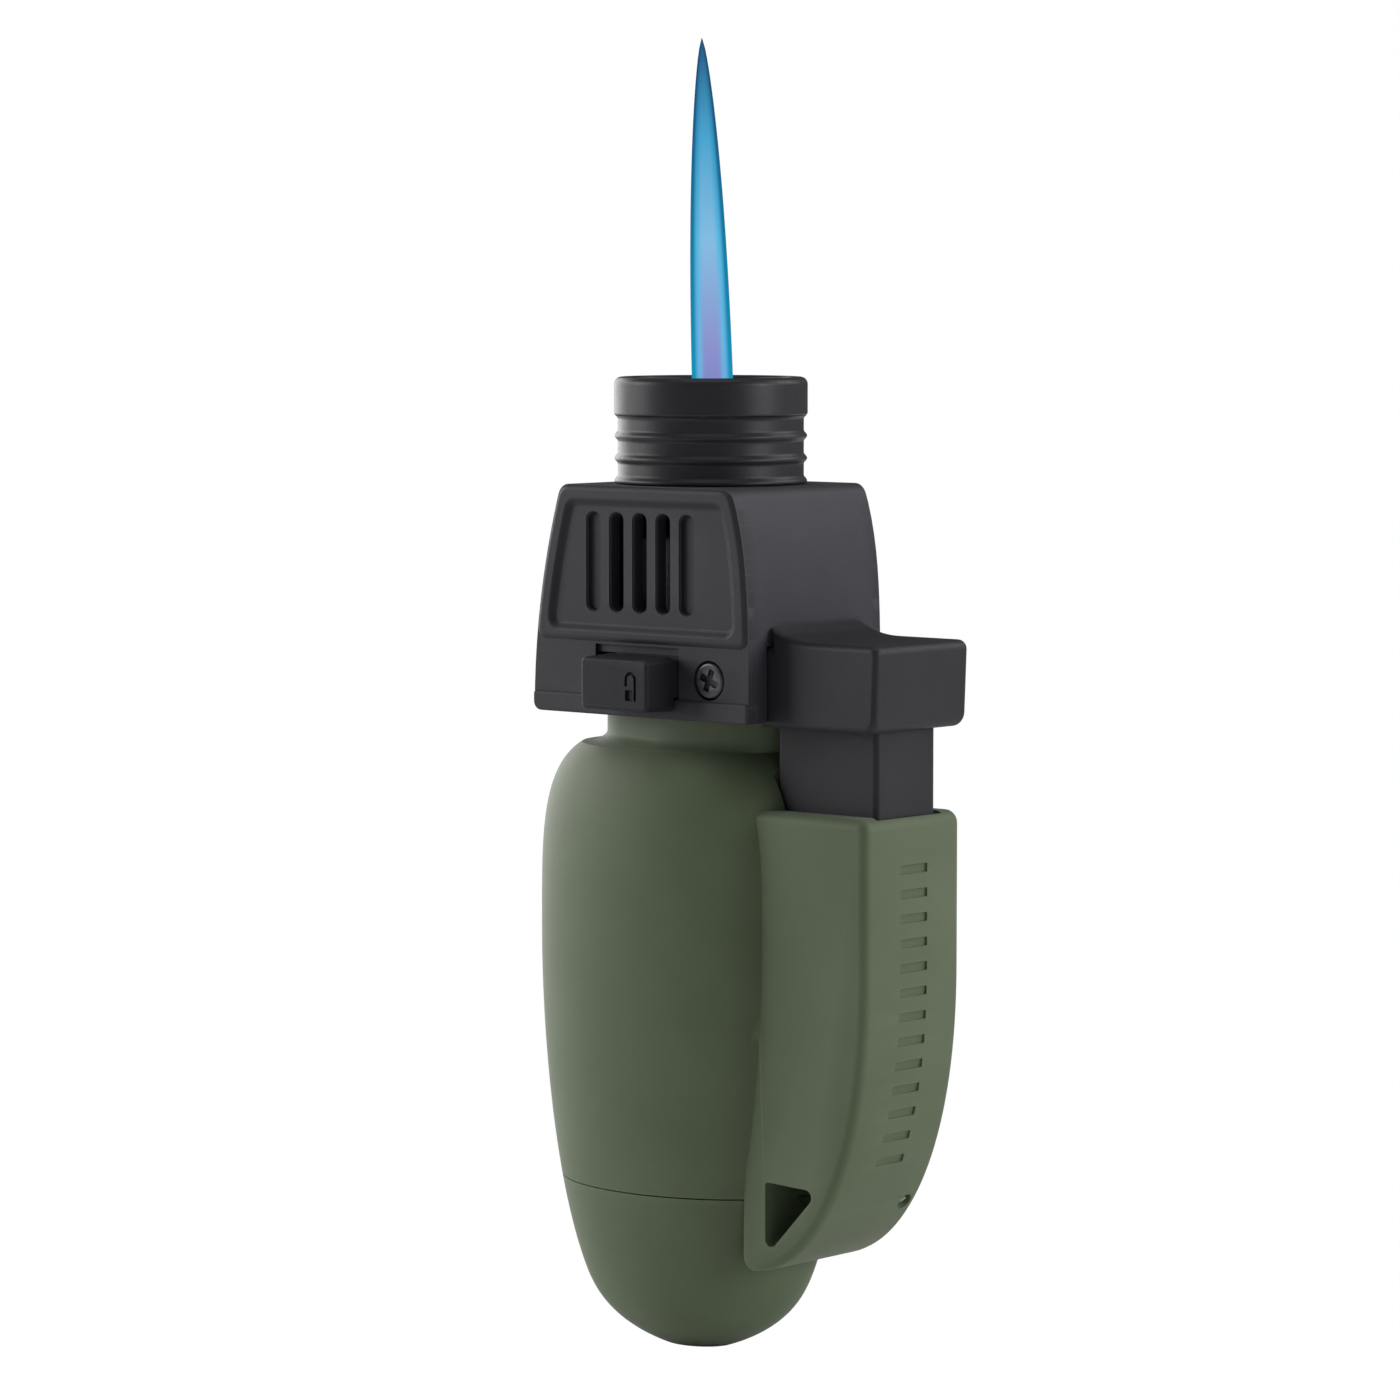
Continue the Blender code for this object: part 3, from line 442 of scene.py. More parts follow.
class Bench:
    """Makes solids of a datum's millimetres with Blender's own tools."""

    def __init__(self, datum: Datum) -> None:
        """Keeps the datum that every solid is placed by."""
        self.datum = datum

    def slab(
        self,
        name: str,
        outline: Sequence[Point],
        y: Point,
        near: Sequence[Point] = (),
        far: Sequence[Point] = (),
    ) -> bpy.types.Object:
        """Extrudes an (x, z) outline along Y, with its rims worked over by insets.

        Args:
            name: The new object's name.
            outline: The outline's points.
            y: The start and the end along Y, before the rims are added.
            near: Insets and rises on the first side.
            far: Insets and rises on the second side.

        Returns:
            The closed solid.
        """
        bpy.ops.object.select_all(action="DESELECT")
        bpy.ops.mesh.primitive_circle_add(vertices=len(outline), radius=MM, fill_type="NGON")
        obj = bpy.context.object
        obj.name = name
        for vertex, (px, pz) in zip(obj.data.vertices, outline):
            vertex.co = self.datum.at(px, y[0], pz)
        edit(obj)
        depth = (0, (y[1] - y[0]) * MM, 0)
        bpy.ops.mesh.extrude_region_move(TRANSFORM_OT_translate={"value": depth})
        bpy.ops.mesh.select_all(action="SELECT")
        bpy.ops.mesh.normals_make_consistent(inside=False)
        close()
        for level, chain in ((y[0], near), (y[1], far)):
            if chain:
                select_faces(obj, lambda f, at=level: abs(f.center.y - at * MM) < 1e-6)
                inset_chain(chain)
                close()
        return obj

    def block(self, name: str, x: Point, y: Point, z: Point, soft: float = 0.0) -> bpy.types.Object:
        """A box between two corners, with its edges rounded if soft isn't 0."""
        bpy.ops.object.select_all(action="DESELECT")
        middle = self.datum.at(sum(x) / 2, sum(y) / 2, sum(z) / 2)
        size = ((x[1] - x[0]) * MM, (y[1] - y[0]) * MM, (z[1] - z[0]) * MM)
        bpy.ops.mesh.primitive_cube_add(size=1, location=middle)
        obj = bpy.context.object
        obj.name = name
        obj.scale = size
        settle(obj)
        if soft:
            apply_modifier(obj, "BEVEL", width=soft * MM, segments=4)
        return obj

    def drum(
        self, name: str, radius: float, start: Place, end: Place, sides: int = 48
    ) -> bpy.types.Object:
        """A round bar between two points."""
        low, high = Vector(self.datum.at(*start)), Vector(self.datum.at(*end))
        bpy.ops.object.select_all(action="DESELECT")
        bpy.ops.mesh.primitive_cylinder_add(
            vertices=sides,
            radius=radius * MM,
            depth=(high - low).length,
            location=(low + high) / 2,
            rotation=(high - low).to_track_quat("Z", "Y").to_euler(),
        )
        obj = bpy.context.object
        obj.name = name
        return settle(obj)

    def swing(self, obj: bpy.types.Object, x: float, z: float, angle: float) -> bpy.types.Object:
        """Turns an object's mesh about the line along Y at (x, z)."""
        pivot = Matrix.Translation(Vector(self.datum.at(x, 0, z)))
        obj.data.transform(pivot @ Matrix.Rotation(angle, 4, "Y") @ pivot.inverted())
        return obj

    def ovals(
        self, name: str, sections: Sequence[tuple[float, ...]], sides: int = 192
    ) -> bpy.types.Object:
        """Extrudes an oval upwards, resizing it at each height.

        Args:
            name: The new object's name.
            sections: Each section's half length, half width, middle along X, and height.
            sides: How many points each oval has.

        Returns:
            The closed solid.
        """
        half_x, half_y, x, z = sections[0]
        bpy.ops.object.select_all(action="DESELECT")
        bpy.ops.mesh.primitive_circle_add(
            vertices=sides, radius=MM, fill_type="NGON", location=self.datum.at(x, 0, z)
        )
        obj = bpy.context.object
        obj.name = name
        obj.scale = (half_x, half_y, 1)
        settle(obj)
        edit(obj)
        for last, now in zip(sections, sections[1:]):
            step = ((now[2] - last[2]) * MM, 0, (now[3] - last[3]) * MM)
            bpy.ops.mesh.extrude_region_move(TRANSFORM_OT_translate={"value": step})
            bpy.ops.transform.resize(
                value=(now[0] / last[0], now[1] / last[1], 1),
                center_override=self.datum.at(now[2], 0, now[3]),
            )
        close()
        return settle(obj)

    def turned(
        self, name: str, profile: Sequence[Point], x: float = 0.0, y: float = 0.0, sides: int = 128
    ) -> bpy.types.Object:
        """Spins a closed profile of (radius, z) about a vertical axis."""
        mesh = bpy.data.meshes.new(name)
        count = len(profile)
        points = [self.datum.at(x + radius, y, z) for radius, z in profile]
        mesh.from_pydata(points, [(i, (i + 1) % count) for i in range(count)], [])
        obj = bpy.data.objects.new(name, mesh)
        bpy.context.scene.collection.objects.link(obj)
        activate(obj)
        bpy.ops.object.mode_set(mode="EDIT")
        bpy.ops.mesh.select_mode(type="VERT")
        bpy.ops.mesh.select_all(action="SELECT")
        centre = self.datum.at(x, y, 0)
        bpy.ops.mesh.spin(steps=sides, angle=2 * math.pi, center=centre, axis=(0, 0, 1))
        close()
        return settle(obj)


def complete(
    obj: bpy.types.Object,
    paint: Paintshop,
    finish: Finish,
    body: str,
    *nodes: str,
    smooth: float = 32.0,
    flat: bool = True,
) -> bpy.types.Object:
    """Shades, dresses and hangs a finished piece.

    Args:
        obj: The piece.
        paint: Where its material comes from.
        finish: Its finish.
        body: The frame's body that it rides on.
        nodes: The frame's nodes that it stands for.
        smooth: Edges flatter than this, in degrees, are shaded smooth.
        flat: Whether large faces keep their own normals, as they should beside narrow roundings.

    Returns:
        The piece.
    """
    activate(obj)
    bpy.ops.object.shade_smooth_by_angle(angle=math.radians(smooth))
    if flat:
        apply_modifier(obj, "WEIGHTED_NORMAL", mode="FACE_AREA", weight=50, keep_sharp=True)
    paint.dress(obj, finish)
    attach(obj, body)
    if nodes:
        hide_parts(*nodes)
    triangles = sum(len(face.vertices) - 2 for face in obj.data.polygons)
    log.info("%s: %d triangles, in %s", obj.name, triangles, finish.name)
    return obj


# ---- tank ----------------------------------------------------------------------------------------
@dataclass
class Tank:
    """The oval fuel tank with its trigger housing, and the cup that closes it from below."""

    half_length: float = 17.8
    flatness: float = 1.3
    x: float = -1.65
    widest_z: float = 42.5
    top_z: float = 64.0
    nose_z: float = 9.0
    foot_z: float = 0.85
    seam_z: float = 17.9
    seam_gap: float = 0.14
    wall: float = 1.5
    base_wall: float = 2.9
    base_space_z: tuple[float, ...] = (4.2, 5, 6, 7.5, 9, 11, 13, 16, 19, 24)
    spigot_inset: float = 1.75
    spigot_z: tuple[float, ...] = (15.0, 17.4, 19.8)
    fuel_z: Point = (12.0, 59.5)
    well_wall_x: float = 11.1
    valve_bore: float = 4.2
    neck: Point = (12.2, 8.0)
    neck_top_z: float = 67.9
    shoulder_z: float = 62.6
    neck_fillet: float = 1.2
    housing_half_width: float = 7.5
    housing_reach: float = 26.6
    housing_top_z: float = 57.15
    housing_foot: Point = (10.35, 10.6)
    housing_curve_z: float = 42.0
    housing_curve: float = 2.2
    housing_rim: float = 1.0
    housing_corner: float = 1.35
    heel: float = 1.6
    stem_half_width: float = 4.6
    stem_x: Point = (12.7, 25.7)
    stem_well_z: float = 44.4
    piezo_x: float = 17.65
    piezo_half: float = 3.85
    piezo_z: Point = (22.0, 50.0)
    pin: Point = (20.3, 17.95)
    pin_radius: float = 0.42
    pin_y: Point = (2.8, 6.8)
    stub: float = 0.85
    stub_radius: float = 0.39
    cord_hole_y: float = 5.4
    cord_hole_lean: float = 132.0
    cord_hole_radius: float = 0.9
    grip_count: int = 13
    grip_top_z: float = 51.8
    grip_pitch: float = 2.45
    grip_half_width: float = 2.1
    grip_half_height: float = 0.45
    grip_depth: float = 0.28
    adjuster_radii: Point = (1.5, 2.32)
    adjuster_z: Point = (1.0, 2.3)
    adjuster_edges: Point = (0.15, 0.17)
    driver_slot: Point = (0.3, 0.6)
    knurls: int = 16
    knurl_ring: float = 2.4
    knurl_radius: float = 0.16

    def share(self, z: float) -> float:
        """The tank's half length at a height, as a share of its greatest one."""
        if z > self.widest_z:
            return (1 - ((z - self.widest_z) / (self.top_z - self.widest_z)) ** 4) ** 0.21
        share = (1 - ((self.widest_z - z) / self.widest_z) ** 1.8) ** 0.29
        if z < self.nose_z:
            share *= (1 - (1 - z / self.nose_z) ** 3.2) ** 0.42
        return share

    def oval(self, z: float, grow: float = 0.0) -> tuple[float, float, float, float]:
        """The tank's oval at a height, grown or shrunk all round."""
        half = self.half_length * self.share(z)
        return (half + grow, half / self.flatness + grow, self.x, z)

    def levels(self, low: float, high: float, count: int) -> list[float]:
        """Heights between two, closer together towards both ends."""
        turns = [math.pi * i / count for i in range(count + 1)]
        return [low + (high - low) * (1 - math.cos(a)) / 2 for a in turns]

    def back(self, z: float) -> float:
        """How far the housing's back reaches at a height."""
        if z >= self.housing_curve_z:
            return self.housing_reach
        foot_x, foot_z = self.housing_foot
        drop = (self.housing_curve_z - z) / (self.housing_curve_z - foot_z)
        inner = max(1 - drop**self.housing_curve, 0)
        return foot_x + (self.housing_reach - foot_x) * inner ** (1 / self.housing_curve)

    def neck_ovals(self, steps: int = 10) -> list[tuple[float, ...]]:
        """The hollow fillet from the shoulder in to the neck, and the neck itself."""
        wide = self.oval(self.shoulder_z)
        narrow = (*self.neck, 0.0, self.shoulder_z)
        sections = []
        for i in range(1, steps + 1):
            turn = math.pi / 2 * i / steps
            share = math.sin(turn)
            blended = [w + (n - w) * share for w, n in zip(wide[:3], narrow[:3])]
            sections.append((*blended, self.shoulder_z + self.neck_fillet * (1 - math.cos(turn))))
        return [*sections, (*self.neck, 0.0, self.neck_top_z)]

    def housing_outline(self) -> list[Point]:
        """The trigger housing from the side, as an outline."""
        foot_x, foot_z = self.housing_foot
        half_x, half_z = self.housing_reach - foot_x, self.housing_curve_z - foot_z
        power = 2 / self.housing_curve
        turns = [math.pi / 2 * i / 36 for i in range(34)]
        middle_z = self.housing_curve_z
        curve = [
            (foot_x + half_x * math.cos(a) ** power, middle_z - half_z * math.sin(a) ** power)
            for a in turns
        ]
        reach, top_z = self.housing_reach, self.housing_top_z
        top = rounded([(0.0, top_z, 0), (reach, top_z, self.housing_corner), (reach, 45.0, 0)])
        heel = arc((foot_x + self.heel, foot_z + self.heel), self.heel, 255, 180, 6)
        return [*top, *curve, *heel, (foot_x, 20.0), (0.0, 24.0)]

    def window(self) -> list[Point]:
        """The three-cornered lanyard window."""
        return rounded([(13.7, 20.05, 0.35), (13.7, 12.4, 0.75), (20.6, 19.75, 0.75)])

    def grips(self, bench: Bench) -> list[bpy.types.Object]:
        """Shallow bars across the housing's back, each square to the surface there."""
        cutters = []
        wide, tall = self.grip_half_width, self.grip_half_height
        for i in range(self.grip_count):
            z = self.grip_top_z - i * self.grip_pitch
            x = self.back(z)
            rise = self.back(z + 0.1) - self.back(z - 0.1)
            deep = (x - self.grip_depth, x + 1.0)
            bar = bench.block(f"grip_{i}", deep, (-wide, wide), (z - tall, z + tall), 0.12)
            cutters.append(bench.swing(bar, x, z, math.atan2(rise, 0.2)))
        return cutters

    def cord_hole(self, bench: Bench) -> bpy.types.Object:
        """The small round hole from the curved back into the lanyard window."""
        middle = Vector((self.pin[0], self.cord_hole_y, self.pin[1]))
        outwards = self.cord_way()
        inner, outer = middle - outwards * 1.5, middle + outwards * 2.4
        return bench.drum("cord_hole", self.cord_hole_radius, tuple(inner), tuple(outer), 32)

    def cord_way(self) -> Vector:
        """The direction in which the cord hole leads out."""
        lean = math.radians(self.cord_hole_lean)
        return Vector((math.sin(lean), 0, math.cos(lean)))

    def build_shell(self, bench: Bench, paint: Paintshop) -> bpy.types.Object:
        """The shell: tank, neck and housing in one moulding, hollow inside."""
        heights = self.levels(self.seam_z - 1, self.shoulder_z, 56)
        shell = bench.ovals("moulded_tank", [self.oval(z) for z in heights] + self.neck_ovals())
        half = self.housing_half_width - self.housing_rim
        edge = quarter_round(self.housing_rim)
        housing = bench.slab("housing", self.housing_outline(), (-half, half), edge, edge)
        x, z = self.pin
        cut(
            housing,
            self.build_window(bench),
            self.cord_hole(bench),
            bench.drum("pin_bore", 0.5, (x, 2.6, z), (x, 9, z), 24),
            *self.grips(bench),
        )
        join(shell, housing)
        room = [self.oval(z, self.seam_gap) for z in self.levels(0.2, self.seam_z, 30)]
        cut(shell, bench.ovals("base_room", room))
        fuel_levels = self.levels(*self.fuel_z, 20)
        fuel = bench.ovals("fuel_space", [self.oval(z, -self.wall) for z in fuel_levels])
        cut(fuel, bench.block("well_wall", (self.well_wall_x, 40), (-20, 20), (0, 80)))
        cut(shell, fuel)
        well = self.stem_half_width + 0.25
        pocket = self.piezo_half + 0.3
        (near, far), top = self.stem_x, self.housing_top_z
        mouth_z = (top - 0.25, top + 0.05)
        cut(
            shell,
            bench.drum("valve_bore", self.valve_bore, (0, 0, 55), (0, 0, 70)),
            bench.block("stem_well", (near - 0.25, far + 0.2), (-well, well), (self.stem_well_z, 75)),
            bench.block("mouth", (near - 0.45, far + 0.4), (-well - 0.2, well + 0.2), mouth_z),
            bench.block("piezo_well", (12.6, self.piezo_x + pocket), (-pocket, pocket), self.piezo_z),
        )
        return complete(shell, paint, SOFT_TOUCH_ABS, ROOT, "tank_shell", smooth=28, flat=False)

    def build_window(self, bench: Bench) -> bpy.types.Object:
        """The lanyard window's cutter, right through the housing."""
        reach = self.housing_half_width + 2
        return bench.slab("window", self.window(), (-reach, reach))

    def build_base(self, bench: Bench, paint: Paintshop) -> bpy.types.Object:
        """The cup: the rounded nose, a spigot that enters the shell, and the fill valve's seat."""
        top = self.seam_z - self.seam_gap
        nose = [self.foot_z + (top - self.foot_z) * (i / 40) ** 1.7 for i in range(41)]
        base = bench.ovals("moulded_tank_base", [self.oval(z) for z in nose])
        spigot = bench.ovals("spigot", [self.oval(z, -self.spigot_inset) for z in self.spigot_z])
        cut(spigot, bench.block("well_room", (10.9, 40), (-20, 20), (0, 80)))
        join(base, spigot)
        inside = [self.oval(z, -self.base_wall) for z in self.base_space_z]
        space = bench.ovals("base_space", inside)
        cut(space, bench.block("well_floor", (9.6, 40), (-20, 20), (14.8, 80)))
        cut(base, space)
        cut(
            base,
            bench.drum("adjuster_recess", 2.6, (self.x, 0, -1), (self.x, 0, 2.5)),
            bench.drum("valve_hole", 1.45, (self.x, 0, -1), (self.x, 0, 6)),
        )
        return complete(base, paint, SOFT_TOUCH_ABS, ROOT, "tank_base", smooth=28, flat=False)

    def build_adjuster(self, bench: Bench, paint: Paintshop) -> bpy.types.Object:
        """The flame adjuster: a knurled ring with a driver slot, round the fill valve."""
        (bore, outer), (low, high) = self.adjuster_radii, self.adjuster_z
        inner_edge, outer_edge = self.adjuster_edges
        profile = [
            (bore, high), (bore, low + inner_edge), (bore + inner_edge, low),
            (outer - outer_edge, low), (outer, low + outer_edge), (outer, high),
        ]
        ring = bench.turned("adjuster_ring", profile, self.x, sides=96)
        half, deep = self.driver_slot
        slot_x = (self.x - half, self.x + half)
        cut(ring, bench.block("driver_slot", slot_x, (1.2, 3.0), (0, low + deep)))
        for i in range(self.knurls):
            angle = 2 * math.pi * (i + 0.5) / self.knurls
            x, y = self.x + self.knurl_ring * math.cos(angle), self.knurl_ring * math.sin(angle)
            cut(ring, bench.drum("knurl", self.knurl_radius, (x, y, 0), (x, y, 3), 12))
        return complete(ring, paint, POLISHED_NYLON, "adjuster_body", "flame_adjuster")

    def build_pin(self, bench: Bench, paint: Paintshop) -> bpy.types.Object:
        """The steel pin across the lanyard window, its stub standing in the cord hole."""
        (x, z), (near, far) = self.pin, self.pin_y
        pin = bench.drum("cord_pin", self.pin_radius, (x, near, z), (x, far, z), 24)
        root = Vector((x, self.cord_hole_y, z))
        tip = root + self.cord_way() * self.stub
        join(pin, bench.drum("stub", self.stub_radius, tuple(root), tuple(tip), 24))
        return complete(pin, paint, ROLLED_STEEL, ROOT, "lanyard_pin")

    def build(self, bench: Bench, paint: Paintshop) -> None:
        """Builds the shell, the base, the adjuster and the pin."""
        self.build_pin(bench, paint)
        self.build_shell(bench, paint)
        self.build_base(bench, paint)
        self.build_adjuster(bench, paint)


# ---- head ----------------------------------------------------------------------------------------
@dataclass
class Head:
    """The charcoal head: a frame with curved ends and a slotted cover on each broad side."""

    bottom_z: float = 66.0
    top_z: float = 89.2
    left: Point = (14.9, 3.7)
    right: Point = (13.85, 2.3)
    wall: float = 1.7
    top_corner: float = 1.5
    hollow_z: Point = (67.4, 87.6)
    neck_room: Point = (12.5, 8.3)
    spigot_room: float = 7.9
    cover_inner_y: float = 8.65
    band_y: float = 10.3
    slot_y: float = 9.95
    face_y: float = 10.6
    rim: float = 0.65
    seam: float = 0.015
    border_root_y: float = 9.2
    border_corners: Point = (1.7, 1.1)
    bead_inset: Point = (1.35, 1.3)
    bead_foot: float = 0.95
    bead_corner: float = 1.5
    bead_drop: Point = (0.5, 0.95)
    lip_step: float = 0.25
    lip_edge: float = 0.22
    frame_foot_z: float = 73.3
    lip_top_z: float = 68.0
    feet: Point = (0.95, 0.2)
    slot_pitch: float = 3.12
    slot_x: float = -0.7
    slot_half_width: float = 0.85
    slot_z: Point = (76.5, 86.4)
    slot_flare: float = 0.16
    slot_edge: float = 0.13
    groove_depth: float = 0.32
    window_x: Point = (-6.5, 4.7)
    window_z: Point = (68.0, 72.35)
    ledge_z: float = 73.15
    ledge_depth: float = 0.45
    screw: Point = (8.7, 70.12)
    screw_head: float = 1.8
    screw_shank: float = 0.8
    screw_turn: float = 22.0
    cross: Point = (1.15, 0.38)
    boss: float = 1.6
    opening_top_z: float = 73.6
    finger_y: Point = (1.4, 4.1)
    finger_top_z: float = 75.45
    trigger_half_width: float = 7.45

    def share(self, z: float) -> float:
        """How far up the head a height is."""
        return (z - self.bottom_z) / (self.top_z - self.bottom_z)

    def end_x(self, z: float, inset: float = 0.0) -> Point:
        """Where the two ends stand at a height: the curved one first, the trigger's second."""
        share = self.share(z)
        left = -self.left[0] + self.left[1] * share**2 + inset
        right = self.right[0] - self.right[1] * share**4 - inset
        return (left, right)

    def outline(
        self,
        inset: float,
        z: Point,
        top_radius: float = 0.0,
        feet: Point = (0.0, 0.0),
        count: int = 14,
    ) -> list[Point]:
        """The head from the side between two heights, set in from its curved ends.

        Args:
            inset: How far in from both ends.
            z: The lowest and the highest height.
            top_radius: The radius of the upper corners.
            feet: The radii of the lower corners: the curved end's, then the trigger's.
            count: How many heights each end is drawn with.

        Returns:
            The outline's points.
        """
        margin = 1.3
        ends = []
        for foot in feet:
            low, high = z[0] + foot * margin, z[1] - top_radius * margin
            ends.append([low + (high - low) * i / (count - 1) for i in range(count)])
        left_top, right_top = self.end_x(z[1], inset)
        left_foot, right_foot = self.end_x(z[0], inset)
        corners = [
            *((self.end_x(h, inset)[1], h, 0.0) for h in ends[1]),
            (right_top, z[1], top_radius),
            (left_top, z[1], top_radius),
            *((self.end_x(h, inset)[0], h, 0.0) for h in reversed(ends[0])),
            (left_foot, z[0], feet[0]),
            (right_foot, z[0], feet[1]),
        ]
        return self._without_doubles(rounded(corners))

    @staticmethod
    def _without_doubles(outline: list[Point]) -> list[Point]:
        """Drops each point that lies on the one before it."""
        kept: list[Point] = []
        for point in outline:
            if not kept or math.dist(point, kept[-1]) > 1e-4:
                kept.append(point)
        if math.dist(kept[0], kept[-1]) < 1e-4:
            kept.pop()
        return kept

    def build_frame(self, bench: Bench, paint: Paintshop) -> bpy.types.Object:
        """The frame: two end walls, a roof and rounded corners, open to both broad sides."""
        ledge = self.cover_inner_y - self.seam
        outline = self.outline(0.0, (self.bottom_z, self.top_z), self.top_corner, self.feet)
        frame = bench.slab("head_housing", outline, (-ledge, ledge))
        hollow = self.outline(self.wall, self.hollow_z, 0.6, (0.3, 0.3))
        cut(frame, bench.slab("hollow", hollow, (-ledge - 0.1, ledge + 0.1)))
        mouth = (-self.trigger_half_width, self.trigger_half_width)
        cut(
            frame,
            bench.ovals("neck_room", [(*self.neck_room, 0.0, z) for z in (60, 69)]),
            bench.drum("spigot_room", self.spigot_room, (0, 0, 84), (0, 0, 95), 96),
            bench.block("trigger_room", (11, 20), mouth, (60, self.opening_top_z)),
            bench.block("finger_room", (11, 20), self.finger_y, (70, self.finger_top_z)),
        )
        for side in (-1, 1):
            boss = self.bar(bench, "boss", self.boss, side, (6.6, ledge), 40)
            web_y = tuple(sorted((side * 7.4, side * ledge)))
            web = bench.block("web", (self.screw[0], 12.6), web_y, (68.8, 71.4))
            join(frame, boss, web)
            cut(frame, self.bar(bench, "screw_room", self.screw_shank + 0.15, side, (6, 9.5), 24))
        return complete(frame, paint, GLASS_FILLED_NYLON, ROOT, "head_frame")

    def bar(
        self, bench: Bench, name: str, radius: float, side: int, y: Point, sides: int
    ) -> bpy.types.Object:
        """A round bar along a screw's axis, from the first distance outwards to the second."""
        x, z = self.screw
        return bench.drum(name, radius, (x, side * y[0], z), (x, side * y[1], z), sides)

    def slot(self, x: float) -> list[Point]:
        """An upright slot with round ends."""
        r, (low, high) = self.slot_half_width, self.slot_z
        return [*arc((x, high - r), r, 0, 180, 12), *arc((x, low + r), r, 180, 360, 12)]

    def slot_cutter(self, bench: Bench, number: int, side: int) -> bpy.types.Object:
        """One slot's cutter. The outer two slots are only grooves."""
        x = self.slot_x + number * self.slot_pitch
        edge, middle_z = self.slot_edge, sum(self.slot_z) / 2
        wide = [
            (px + (px - x) * self.slot_flare, pz + (edge if pz > middle_z else -edge))
            for px, pz in self.slot(x)
        ]
        deep = self.groove_depth if abs(number) == 2 else 5.0
        surface = self.slot_y
        chain = [(edge, self.slot_flare), (0.0001, deep)]
        outer, inner = side * (surface + 0.6), side * (surface + 0.05)
        return bench.slab(f"slot_{number}", wide, (outer, inner), (), chain)

    def build_cover(
        self, bench: Bench, paint: Paintshop, name: str, node: str, side: int
    ) -> bpy.types.Object:
        """A side cover: plate, raised frame round a slotted panel, lip along its foot.

        Args:
            bench: Where solids are made.
            paint: Where finishes come from.
            name: The piece's name.
            node: The frame's node that it stands for.
            side: -1 for the front, 1 for the rear.

        Returns:
            The piece.
        """
        inner, start = side * self.cover_inner_y, side * (self.face_y - self.rim)
        edge = quarter_round(self.rim)
        plate = self.outline(0.0, (self.bottom_z, self.top_z), self.top_corner, self.feet)
        cover = bench.slab(name, plate, (inner, side * self.band_y))
        (head_corner, foot_corner), root = self.border_corners, side * self.border_root_y
        border_z = (self.frame_foot_z, self.top_z)
        raised = self.outline(0.0, border_z, head_corner, (foot_corner, foot_corner))
        join(cover, bench.slab("raised", raised, (root, start), (), edge))
        (ends, top), corner = self.bead_inset, self.bead_corner
        panel_z = (self.frame_foot_z + self.bead_foot, self.top_z - top)
        panel = self.outline(ends, panel_z, corner, (corner, corner))
        panel_y = (side * (self.face_y + 0.3), side * (self.face_y + 0.005))
        fall = self.bead_fall(*self.bead_drop)
        cut(cover, bench.slab("panel_room", panel, panel_y, (), fall))
        lip = self.outline(0.0, (self.bottom_z, self.lip_top_z), 0.3, self.feet, 4)
        lip_y = (root, side * (self.face_y - self.lip_step))
        join(cover, bench.slab("lip", lip, lip_y, (), quarter_round(self.lip_edge, 3)))
        for number in range(-2, 3):
            cut(cover, self.slot_cutter(bench, number, side))
        cut(
            cover,
            self.bar(bench, "shank_hole", self.screw_shank + 0.4, side, (6, 12), 32),
            self.bar(bench, "head_recess", self.screw_head + 0.2, side, (9.4, 12), 64),
        )
        if side < 0:
            # The window goes through, and a shallow ledge above it clears the knob's upper edge.
            low, high = self.window_z
            ledge_y = (-12, -self.band_y + self.ledge_depth)
            cut(
                cover,
                bench.block("slider_window", self.window_x, (-12, -6), (low, high)),
                bench.block("window_ledge", self.window_x, ledge_y, (high - 0.1, self.ledge_z)),
            )
        return complete(cover, paint, GLASS_FILLED_NYLON, ROOT, node)

    @staticmethod
    def bead_fall(depth: float, width: float, steps: int = 8) -> list[Point]:
        """The S-shaped fall from the bead's crest to the panel."""
        turns = [math.pi * i / steps for i in range(steps + 1)]
        falls = [depth * (math.cos(a) - math.cos(b)) / 2 for a, b in zip(turns, turns[1:])]
        return [(width / steps, fall) for fall in falls]

    def build_screw(
        self, bench: Bench, paint: Paintshop, name: str, node: str, side: int
    ) -> bpy.types.Object:
        """A pan-head screw with a cross recess, turned a little as it happened to stop."""
        x, z = self.screw
        rim = arc((x, z), self.screw_head, 0, 352.5, 47)
        head = bench.slab(name, rim, (side * 9.7, side * 10.05), (), quarter_round(0.28, 4))
        join(head, self.bar(bench, "shank", self.screw_shank, side, (6.9, 10.0), 24))
        (long, tall), wing_y = self.cross, tuple(sorted((side * 9.85, side * 10.6)))
        for turn in (self.screw_turn, self.screw_turn + 90):
            wing = bench.block("wing", (x - long, x + long), wing_y, (z - tall, z + tall), 0.08)
            cut(head, bench.swing(wing, x, z, math.radians(turn)))
        return complete(head, paint, BLACK_OXIDE_STEEL, ROOT, node, smooth=40)

    def build(self, bench: Bench, paint: Paintshop) -> None:
        """Builds the frame, both covers and their screws."""
        self.build_frame(bench, paint)
        for word, side in (("front", -1), ("rear", 1)):
            self.build_cover(bench, paint, f"{word}_cover", f"side_cover_{word}", side)
            self.build_screw(bench, paint, f"{word}_cover_screw", f"cover_screw_{word}", side)


